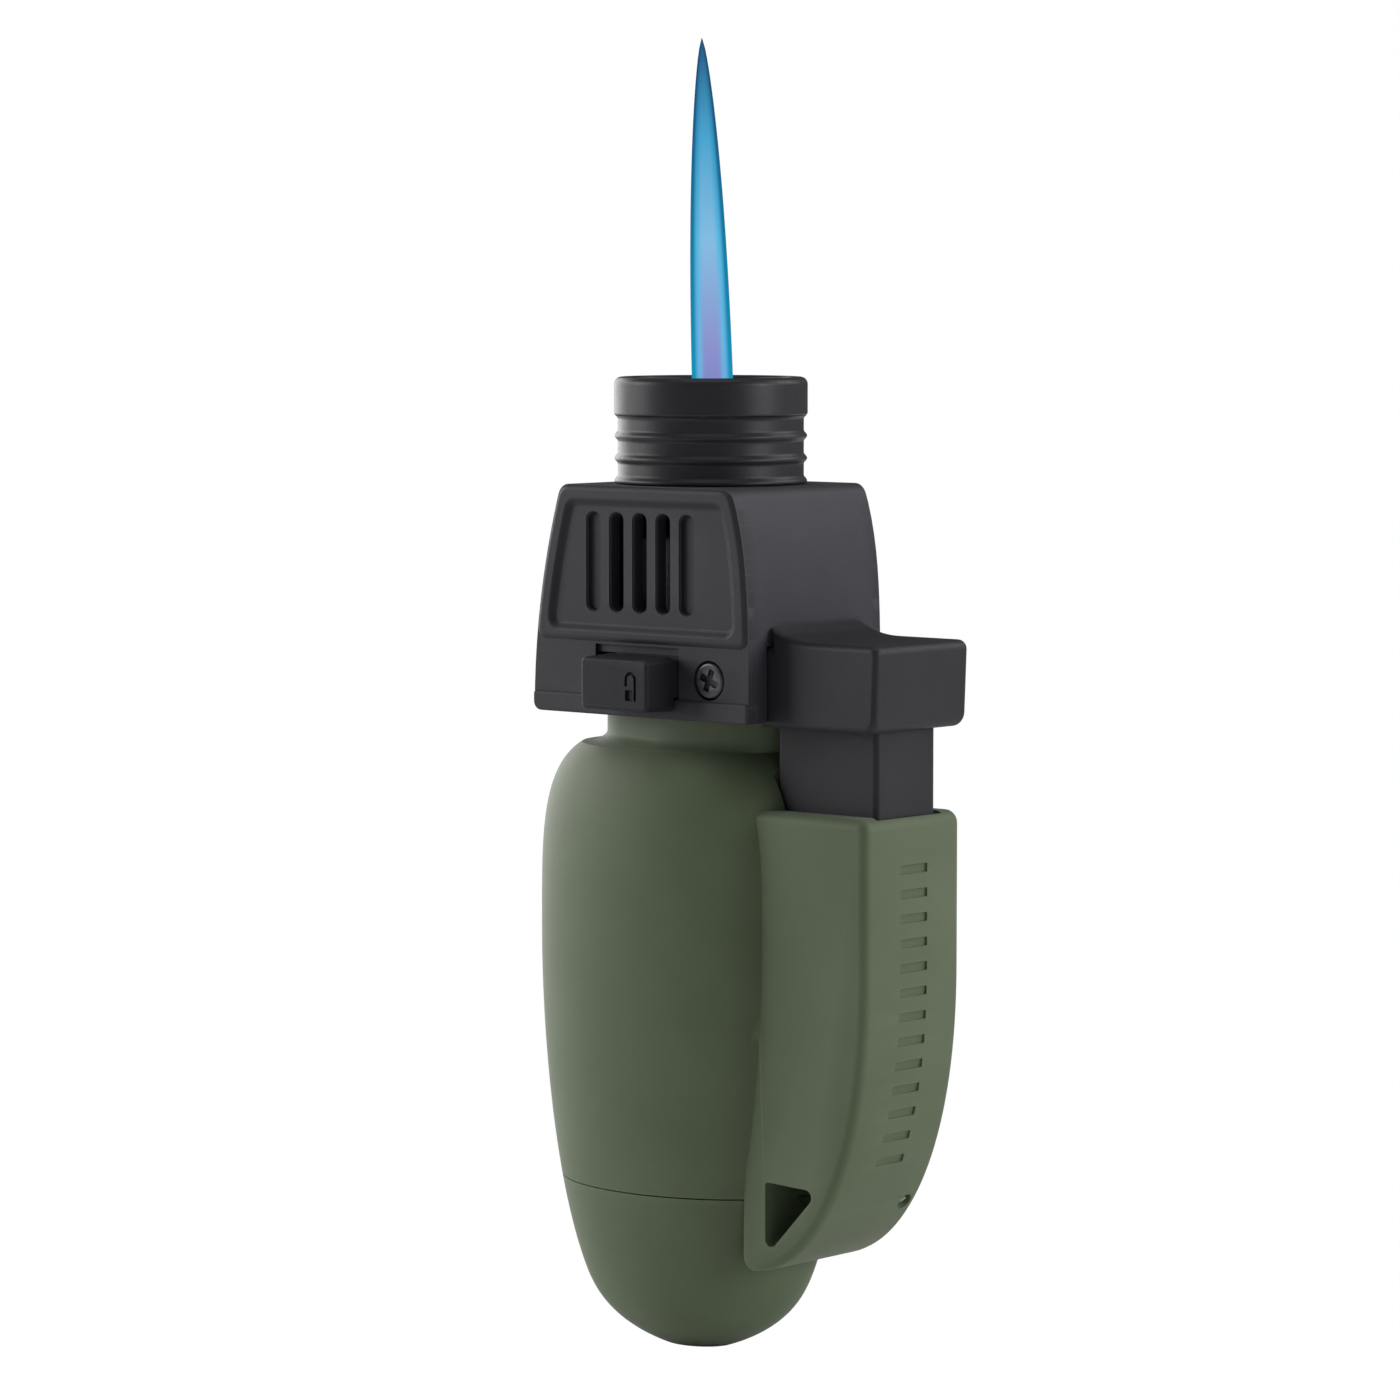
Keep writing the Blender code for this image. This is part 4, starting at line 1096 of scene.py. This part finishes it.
# ---- lock slider ---------------------------------------------------------------------------------
@dataclass
class LockSlider:
    """The sliding lock: a knob outside, a neck through the window and a foot plate behind it."""

    knob_x: Point = (-4.7, 4.5)
    knob_z: Point = (66.8, 72.3)
    face_y: float = -14.7
    root_y: float = -10.9
    corner: float = 0.65
    edge: float = 0.35
    draft: float = 0.05
    neck_x: Point = (-4.25, 4.45)
    neck_z: Point = (68.2, 71.9)
    neck_end_y: float = -8.0
    backing_y: Point = (-9.7, -8.0)
    backing_z: Point = (68.2, 72.3)
    foot_x: Point = (-7.2, 6.5)
    foot_y: Point = (-8.58, -7.6)
    foot_z: Point = (68.2, 74.0)
    sign_x: Point = (1.55, 2.75)
    sign_z: Point = (68.0, 70.15)
    sign_line: float = 0.16
    sign_body: float = 1.1
    sign_gap: float = 0.35
    sign_depth: float = 0.3

    def padlock(self, bench: Bench) -> list[bpy.types.Object]:
        """A plain open-padlock sign: a shackle with one free leg over a body."""
        (left, right), (foot, shoulder), line = self.sign_x, self.sign_z, self.sign_line
        crown, radius = ((left + right) / 2, shoulder), (right - left) / 2
        body_top = foot + self.sign_body
        shackle = [
            *arc(crown, radius + line, 0, 180, 12),
            (left - line, body_top + self.sign_gap),
            (left + line, body_top + self.sign_gap),
            *arc(crown, radius - line, 180, 0, 12),
            (right - line, foot),
            (right + line, foot),
        ]
        near, far = left - 0.1, right - 0.3
        corners = [(near, body_top), (near, foot), (far, foot), (far, body_top)]
        body = rounded([(x, z, 0.15) for x, z in corners])
        deep = (self.face_y - 0.5, self.face_y + self.sign_depth)
        return [bench.slab("shackle", shackle, deep), bench.slab("lock_body", body, deep)]

    def build(self, bench: Bench, paint: Paintshop) -> None:
        """Builds the slider."""
        (left, right), (low, high) = self.knob_x, self.knob_z
        corners = [(right, high), (left, high), (left, low), (right, low)]
        outline = rounded([(x, z, self.corner) for x, z in corners], 5)
        rise = (self.root_y - self.face_y - self.edge) / 3
        knob = bench.slab(
            "lock_knob",
            outline,
            (self.root_y + 0.05, self.root_y),
            (),
            [*[(self.draft, rise)] * 3, *quarter_round(self.edge, 4)],
        )
        join(
            knob,
            bench.block("neck", self.neck_x, (self.root_y - 0.2, self.neck_end_y), self.neck_z),
            bench.block("foot_plate", self.foot_x, self.foot_y, self.foot_z),
            bench.block("backing", self.neck_x, self.backing_y, self.backing_z),
        )
        cut(knob, *self.padlock(bench))
        complete(knob, paint, BLACK_ACETAL, "lock_body", "lock_slider")


# ---- trigger -------------------------------------------------------------------------------------
@dataclass
class Trigger:
    """The thumb trigger: a scooped cap on a square stem, with the finger that works the valve."""

    back_x: float = 12.7
    lip_x: float = 14.1
    reach: float = 27.8
    half_width: float = 7.25
    bottom_z: float = 65.5
    top_z: float = 74.2
    scoop_x: Point = (13.0, 19.5)
    scoop_top_z: float = 77.2
    step_z: float = 73.5
    stem_x: Point = Tank.stem_x
    stem_half_width: float = Tank.stem_half_width
    stem_bottom_z: float = 50.0
    stem_edge: float = 0.7
    rim: float = 0.7
    top_corner: float = 0.95
    foot_corner: float = 1.5
    draft: float = 0.35
    finger: tuple[Point, Point, Point] = ((8.2, 15.0), (1.7, 3.8), (74.3, 75.15))
    lead_slot: tuple[Point, Point, Point] = ((10.0, 14.0), (-0.9, 0.9), (40.0, 73.6))

    def outline(self) -> list[Point]:
        """The cap from the side."""
        long, high = self.scoop_x[1] - self.scoop_x[0], self.scoop_top_z - self.top_z
        start = math.acos((self.scoop_x[1] - self.lip_x) / long)
        # The first stretch stays straight, so that the rim can round the thin tip.
        turns = [start] + [start + (math.pi / 2 - start) * i / 18 for i in range(6, 19)]
        scoop = [
            (self.scoop_x[1] - long * math.cos(a), self.scoop_top_z - high * math.sin(a))
            for a in turns
        ]
        corner = rounded(
            [
                (20.0, self.top_z, 0),
                (self.reach, self.top_z, self.top_corner),
                (self.reach - self.draft, self.bottom_z, self.foot_corner),
                (20.0, self.bottom_z, 0),
            ]
        )
        back = [(self.back_x, self.bottom_z), (self.back_x, self.step_z), (self.lip_x, self.step_z)]
        return [*back, *scoop, *corner[1:-1]]

    def stem(self, bench: Bench) -> bpy.types.Object:
        """The square stem, its upright edges rounded."""
        half = self.stem_half_width
        stem = bench.block("stem", self.stem_x, (-half, half), (self.stem_bottom_z, 67.5))
        edit(stem, "DESELECT")
        bpy.ops.mesh.select_mode(type="EDGE")
        close()
        for edge in stem.data.edges:
            a, b = (stem.data.vertices[i].co for i in edge.vertices)
            edge.select = abs(a.z - b.z) > 1e-4
        bpy.ops.object.mode_set(mode="EDIT")
        bpy.ops.mesh.bevel(offset=self.stem_edge * MM, segments=5, affect="EDGES")
        close()
        return stem

    def build(self, bench: Bench, paint: Paintshop) -> None:
        """Builds the trigger."""
        half = self.half_width - self.rim
        edge = quarter_round(self.rim)
        cap = bench.slab("thumb_trigger", self.outline(), (-half, half), edge, edge)
        join(cap, self.stem(bench), bench.block("finger", *self.finger, 0.15))
        cut(cap, bench.block("lead_slot", *self.lead_slot))
        complete(cap, paint, POLISHED_NYLON, "trigger_body", "trigger")


# ---- nozzle and burner ---------------------------------------------------------------------------
@dataclass
class Nozzle:
    """The ribbed flame shield, and what can be seen down its mouth."""

    radius: float = 9.83
    top: float = 100.0
    rim_height: float = 3.85
    base_z: float = 89.32
    bore: float = 8.3
    ribs: int = 3
    groove: float = 0.34
    rib_rise: float = 0.08
    rib_share: float = 0.26
    band_edge: Point = (0.22, 0.24)
    lip: float = 0.75
    mouth_edge: float = 0.35
    spigot_radii: Point = (6.9, 7.6)
    spigot_z: float = 86.6
    tube_radii: Point = (2.9, 3.4)
    tube_z: Point = (76.0, 94.3)
    air_hole_radius: float = 0.9
    air_hole_z: float = 81.6
    holder_radius: float = 2.6
    holder_z: Point = (91.6, 92.6)
    gas_holes: int = 6
    gas_ring: float = 1.6
    gas_hole_radius: float = 0.42
    insulator_radius: float = 1.0
    insulator_x: float = 5.6
    insulator_z: Point = (81, 91)

    def outer(self) -> list[Point]:
        """The shield's outside from its foot to its rim: rounded ribs, then a plain band."""
        rim_foot = self.top - self.rim_height
        pitch = (rim_foot - self.base_z) / self.ribs
        points = []
        steps = 24
        for i in range(self.ribs * steps):
            z = self.base_z + pitch * i / steps
            # A round rib stands a little above each pitch, with a shallow valley up to the next.
            off = (i / steps - self.rib_rise + 0.5) % 1.0 - 0.5
            fall = min(1.0, abs(off) / self.rib_share)
            depth = self.groove * (1 - math.cos(math.pi * fall)) / 2
            points.append((self.radius - 0.05 - depth, z))
        points.append((self.radius - 0.1, rim_foot - 0.02))
        return points

    def build_shield(self, bench: Bench, paint: Paintshop) -> bpy.types.Object:
        """The shield, spun from its profile."""
        (inwards, upwards), rim_foot = self.band_edge, self.top - self.rim_height
        turns = [math.pi / 2 * (1 - i / 4) for i in range(5)]
        rim = [
            (self.radius - inwards * (1 - math.cos(a)), rim_foot + upwards * (1 - math.sin(a)))
            for a in turns
        ]
        lip = arc((self.radius - self.lip, self.top - self.lip), self.lip, 0, 90, 8)
        mouth_x, mouth_z = self.bore + self.mouth_edge, self.top - self.mouth_edge
        mouth = arc((mouth_x, mouth_z), self.mouth_edge, 90, 180, 5)
        near, far = self.spigot_radii
        inside = [*mouth, (self.bore, 91.0), (near, 90.6), (near, self.spigot_z)]
        spigot = [(far, self.spigot_z), (far, self.base_z)]
        profile = [*spigot, *self.outer(), *rim, *lip, *inside]
        shield = bench.turned("ribbed_nozzle", profile, sides=160)
        return complete(shield, paint, COATED_ZINC, ROOT, "nozzle_shield")

    def build_burner(self, bench: Bench, paint: Paintshop) -> None:
        """The burner tube, the flame holder with its gas holes, and the electrode's insulator."""
        (inner, outer), (low, high) = self.tube_radii, self.tube_z
        tube = [
            (inner, low), (outer, low), (outer, high - 0.4), (outer - 0.1, high),
            (inner + 0.15, high), (inner, high - 0.2),
        ]
        sleeve = bench.turned("burner_sleeve", tube, sides=72)
        z = self.air_hole_z
        cut(sleeve, bench.drum("air_hole", self.air_hole_radius, (0, -5, z), (0, 5, z), 32))
        complete(sleeve, paint, BLACK_OXIDE_STEEL, ROOT, "burner_tube")
        low, high = self.holder_z
        holder = bench.drum("flame_holder_disc", self.holder_radius, (0, 0, low), (0, 0, high), 64)
        for i in range(self.gas_holes):
            angle = 2 * math.pi * i / self.gas_holes
            x, y = self.gas_ring * math.cos(angle), self.gas_ring * math.sin(angle)
            cut(holder, bench.drum("gas_hole", self.gas_hole_radius, (x, y, 90), (x, y, 94), 20))
        complete(holder, paint, FIRED_ALUMINA, ROOT, "flame_holder")
        start, end = ((self.insulator_x, 0, z) for z in self.insulator_z)
        insulator = bench.drum("electrode_insulator", self.insulator_radius, start, end, 40)
        complete(insulator, paint, FIRED_ALUMINA, ROOT, "insulator")

    def build(self, bench: Bench, paint: Paintshop) -> None:
        """Builds the shield and the burner."""
        self.build_shield(bench, paint)
        self.build_burner(bench, paint)


# ---- springs and the soft tube -------------------------------------------------------------------
@dataclass(frozen=True)
class Coil:
    """A compression spring: its node, its wire, and its joint with that joint's travel."""

    node: str
    x: float
    radius: float
    wire: float
    z: Point
    turns: int
    fixed_z: float
    joint: str
    travel: float

    @property
    def keep(self) -> float:
        """The share of its length that is left when its joint is at its limit."""
        return 1 - self.travel / (self.z[1] - self.z[0])

    def build(self, bench: Bench, paint: Paintshop) -> None:
        """Winds the wire and closes its ends."""
        bpy.ops.object.select_all(action="DESELECT")
        pitch = (self.z[1] - self.z[0] - 2 * self.wire) / self.turns
        upright = (math.pi / 2, 0, 0)
        bpy.ops.mesh.primitive_circle_add(vertices=12, radius=self.wire * MM, rotation=upright)
        obj = bpy.context.object
        obj.name = f"{self.node}_wire"
        obj.location = (self.radius * MM, 0, 0)
        bpy.ops.object.transform_apply(location=True, rotation=True, scale=True)
        apply_modifier(
            obj,
            "SCREW",
            angle=2 * math.pi,
            screw_offset=pitch * MM,
            iterations=self.turns,
            steps=36,
            render_steps=36,
            use_merge_vertices=False,
        )
        edit(obj)
        bpy.ops.mesh.remove_doubles(threshold=1e-6)
        bpy.ops.mesh.fill_holes(sides=0)
        close()
        obj.location = bench.datum.at(self.x, 0, self.z[0] + self.wire)
        settle(obj)
        complete(obj, paint, ROLLED_STEEL, ROOT, self.node, smooth=50, flat=False)
        bench.datum.at(self.x, 0, self.fixed_z)
        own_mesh(obj)


@dataclass
class Springs:
    """The springs, each listed with a joint, and the soft tube between the gas valve and the jet."""

    trigger_travel: float = 5.0
    stem_lift: float = 0.85
    fill_travel: float = 1.2
    tube_radii: Point = (1.2, 1.55)
    tube_z: Point = (73.2, 75.9)

    def coils(self) -> list[Coil]:
        """The springs, each with what its joint takes off its length."""
        tank_x, piezo_x = Tank.x, Tank.piezo_x
        press = ("trigger_press", self.trigger_travel)
        lift = ("valve_stem_lift", self.stem_lift)
        fill = ("fill_valve_press", self.fill_travel)
        return [
            Coil("piezo_return_spring", piezo_x, 2.7, 0.2, (24.8, 36.2), 6, 24.8, *press),
            Coil("piezo_impact_spring", piezo_x, 1.7, 0.18, (39.3, 47.4), 6, 39.3, *press),
            Coil("gas_valve_spring", 0.0, 2.35, 0.22, (73.05, 75.3), 3, 75.3, *lift),
            Coil("fill_valve_spring", tank_x, 0.53, 0.09, (5.5, 9.6), 6, 9.6, *fill),
        ]

    def build(self, bench: Bench, paint: Paintshop) -> None:
        """Builds the springs and the tube."""
        for coil in self.coils():
            coil.build(bench, paint)
        (inner, outer), (low, high) = self.tube_radii, self.tube_z
        edge = 0.12
        profile = [
            (inner, low), (outer - edge, low), (outer, low + edge), (outer, high - edge),
            (outer - edge, high), (inner, high),
        ]
        tube = bench.turned("soft_gas_tube", profile, sides=64)
        complete(tube, paint, SILICONE_TUBE, ROOT, "gas_tube")
        bench.datum.at(0, 0, high)
        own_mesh(tube)


# ---- the frame's own nodes -----------------------------------------------------------------------
NODE_FINISHES: dict[Finish, tuple[str, ...]] = {
    TURNED_BRASS: (
        "fill_valve_body", "fill_valve_stem", "regulator_housing", "gas_valve_body",
        "gas_valve_stem", "jet_nozzle", "piezo_contact",
    ),
    ROLLED_STEEL: ("valve_lever", "lever_pin", "electrode", "lock_detent_spring", "piezo_hammer"),
    BLACK_OXIDE_STEEL: ("burner_bracket",),
    NITRILE_RUBBER: ("fill_valve_o_ring", "gas_valve_o_ring"),
    SILICONE_TUBE: ("feed_tube",),
    FIRED_ALUMINA: ("piezo_crystal",),
    WHITE_ACETAL: ("piezo_case",),
    POLISHED_NYLON: ("piezo_plunger",),
    RED_SLEEVE: ("ignition_lead",),
}


def dress_nodes(frame: dict, paint: Paintshop) -> None:
    """Gives the frame's own inner pieces their finishes."""
    for finish, names in NODE_FINISHES.items():
        for name in names:
            paint.dress(frame["nodes"][name], finish)


# ---- stage ---------------------------------------------------------------------------------------
@dataclass
class Flame:
    """The jet of flame over the burner. It is light, not a piece of the lighter."""

    foot_x: float = 0.5
    foot_z: float = 93.0
    tip_z: float = 134.1
    radius: float = 2.08
    lean: float = 1.7
    taper: Point = (2.4, 0.72)
    tip_radius: float = 0.03
    # From the core to the skin: where each zone fades in, and its colours from the foot up.
    zones: tuple[tuple[float, float, tuple[str, ...]], ...] = (
        (0.0, 0.0, ("#7772B4", "#8B93CE", "#86BCE2", "#4CA6D0", "#20527C")),
        (0.03, 0.2, ("#6FA8DC", "#6AB6E4", "#5AB8E0", "#3A98C4", "#1E4C74")),
        (0.16, 0.5, ("#1A9CC4", "#168CB4", "#147CA4", "#1A5F8A", "#1E3C64")),
    )

    def build(self, bench: Bench) -> None:
        """Builds the flame's skin and its glow."""
        steps = 40
        sections = []
        for i in range(steps + 1):
            t = i / steps
            along, across = self.taper
            half = self.radius * max(1 - t**along, 0.0) ** across + self.tip_radius
            z = self.foot_z + (self.tip_z - self.foot_z) * t
            sections.append((half, half, self.foot_x - self.lean * t, z))
        skin = bench.ovals("jet_flame", sections, 64)
        activate(skin)
        bpy.ops.object.shade_smooth_by_angle(angle=math.radians(60))
        skin.data.materials.append(self.glow(bench.datum))

    def glow(self, datum: Datum) -> bpy.types.Material:
        """Blue light: lavender in the core, cyan towards the edges, dark at the tip."""
        material = bpy.data.materials.new("burning_butane")
        material.use_nodes = True
        tree = material.node_tree
        tree.nodes.remove(tree.nodes["Principled BSDF"])
        place = add_node(tree, "ShaderNodeTexCoord").outputs["Object"]
        height = add_node(tree, "ShaderNodeSeparateXYZ", links={"Vector": place})
        ends = ((self.foot_z + datum.z) * MM, (self.tip_z + datum.z) * MM)
        up = remap(tree, height.outputs["Z"], ends)
        facing = add_node(tree, "ShaderNodeLayerWeight", {"Blend": 0.5}).outputs["Facing"]
        colour = self.ramp(tree, up, self.zones[0][2])
        for start, end, colours in self.zones[1:]:
            zone = add_node(
                tree,
                "ShaderNodeMapRange",
                {"interpolation_type": "SMOOTHSTEP", "From Min": start, "From Max": end},
                {"Value": facing},
            )
            mix = add_node(tree, "ShaderNodeMix", {"data_type": "RGBA"})
            tree.links.new(zone.outputs["Result"], mix.inputs["Factor"])
            tree.links.new(colour, mix.inputs[6])
            tree.links.new(self.ramp(tree, up, colours), mix.inputs[7])
            colour = mix.outputs[2]
        light = add_node(tree, "ShaderNodeEmission", {"Strength": 1.0}, {"Color": colour})
        tree.links.new(light.outputs["Emission"], tree.nodes["Material Output"].inputs["Surface"])
        return material

    @staticmethod
    def ramp(
        tree: bpy.types.NodeTree, factor: bpy.types.NodeSocket, colours: Sequence[str]
    ) -> bpy.types.NodeSocket:
        """An even ramp through colours."""
        node = add_node(tree, "ShaderNodeValToRGB", links={"Fac": factor})
        elements = node.color_ramp.elements
        while len(elements) < len(colours):
            elements.new(0.5)
        for i, colour in enumerate(colours):
            elements[i].position = i / (len(colours) - 1)
            elements[i].color = linear(colour)
        return node.outputs["Color"]


def heading(azimuth: float, elevation: float) -> Vector:
    """The way out from the lighter: degrees round it from the front, and above the floor."""
    turn, rise = math.radians(azimuth), math.radians(elevation)
    level = math.cos(rise)
    return Vector((math.sin(turn) * level, -math.cos(turn) * level, math.sin(rise)))


def show_white(tree: bpy.types.NodeTree, lit: bpy.types.Node, kind: str, output: str) -> None:
    """Lets the camera see plain white where everything else meets another shader.

    Args:
        tree: The floor's or the world's nodes.
        lit: The shader that everything else meets.
        kind: The type of the white shader's node.
        output: The name of the output node.
    """
    white = add_node(tree, kind, {"Color": (1, 1, 1, 1), "Strength": 1.0})
    path = add_node(tree, "ShaderNodeLightPath")
    blend = add_node(tree, "ShaderNodeMixShader")
    sockets = (path.outputs["Is Camera Ray"], lit.outputs[0], white.outputs[0])
    for socket, entry in zip(sockets, blend.inputs):
        tree.links.new(socket, entry)
    tree.links.new(blend.outputs["Shader"], tree.nodes[output].inputs["Surface"])


@dataclass
class Studio:
    """White surroundings, soft lights, and the camera."""

    azimuth: float = 41.0
    distance: float = 537.0
    height: float = 110.7
    pitch: float = 4.64
    lens: float = 136.03
    shift: float = -10.8 / 1400
    aim_height: float = 0.05

    def build(self, datum: Datum) -> None:
        """Builds the floor, the surroundings, the lights and the camera."""
        self.floor()
        self.surroundings()
        # Name, azimuth and elevation from the lighter, distance, size and power.
        self.light("key", -56, 18, 0.75, 0.45, 3.2)
        self.light("trigger_side", 106, 16, 0.75, 0.35, 2.3)
        self.light("left_rim", -104, 8, 0.6, 0.45, 2.4)
        self.light("right_rim", 150, 32, 0.6, 0.35, 1.0)
        self.light("overhead", 40, 84, 0.7, 0.5, 0.8)
        self.camera(datum)
        bpy.context.scene.view_settings.view_transform = "Standard"

    def floor(self) -> None:
        """A white floor that shades off to plain white."""
        bpy.ops.object.select_all(action="DESELECT")
        bpy.ops.mesh.primitive_circle_add(vertices=128, radius=6.0, fill_type="NGON")
        floor = bpy.context.object
        floor.name = "floor"
        material = bpy.data.materials.new("white_floor")
        material.use_nodes = True
        tree = material.node_tree
        shader = tree.nodes["Principled BSDF"]
        shader.inputs["Base Color"].default_value = (0.8, 0.8, 0.8, 1)
        shader.inputs["Roughness"].default_value = 0.9
        show_white(tree, shader, "ShaderNodeEmission", "Material Output")
        floor.data.materials.append(material)

    def surroundings(self) -> None:
        """White to the eye, and a soft grey light from all round."""
        world = bpy.data.worlds.new("white_room")
        world.use_nodes = True
        tree = world.node_tree
        dim = tree.nodes["Background"]
        dim.inputs["Color"].default_value = (1, 1, 1, 1)
        dim.inputs["Strength"].default_value = 0.11
        show_white(tree, dim, "ShaderNodeBackground", "World Output")
        bpy.context.scene.world = world

    def light(
        self, name: str, azimuth: float, elevation: float, away: float, size: float, power: float
    ) -> None:
        """A square soft light that looks at the middle of the lighter.

        Args:
            name: The light's name.
            azimuth: Degrees round the lighter: 0 is the front, 90 the trigger's side.
            elevation: Degrees above the floor.
            away: Metres from the lighter.
            size: The light's side in metres.
            power: Watts.
        """
        data = bpy.data.lights.new(name, "AREA")
        data.shape = "SQUARE"
        data.size = size
        data.energy = power
        lamp = bpy.data.objects.new(name, data)
        bpy.context.scene.collection.objects.link(lamp)
        direction = heading(azimuth, elevation)
        lamp.location = Vector((0, 0, self.aim_height)) + direction * away
        lamp.rotation_euler = (-direction).to_track_quat("-Z", "Y").to_euler()

    def camera(self, datum: Datum) -> None:
        """The camera, aimed level past the nozzle's axis and pitched a little down."""
        data = bpy.data.cameras.new("camera")
        data.sensor_width = 36.0
        data.lens = self.lens
        data.shift_x = self.shift
        data.clip_start = 0.01
        camera = bpy.data.objects.new("camera", data)
        bpy.context.scene.collection.objects.link(camera)
        turn = math.radians(self.azimuth)
        x, y = math.sin(turn) * self.distance, -math.cos(turn) * self.distance
        camera.location = datum.at(x, y, self.height)
        look = -heading(self.azimuth, self.pitch)
        camera.rotation_euler = look.to_track_quat("-Z", "Y").to_euler()
        bpy.context.scene.camera = camera


def main() -> None:
    """Builds the lighter's looks around the frame."""
    logging.basicConfig(level=logging.INFO, format="%(name)s %(message)s")
    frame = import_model()
    datum = Datum.from_frame()
    bench, paint = Bench(datum), Paintshop()
    Studio().build(datum)
    for part in (Tank(), Head(), LockSlider(), Trigger(), Nozzle(), Springs()):
        part.build(bench, paint)
    dress_nodes(frame, paint)
    Flame().build(bench)


if __name__ == "__main__":
    main()
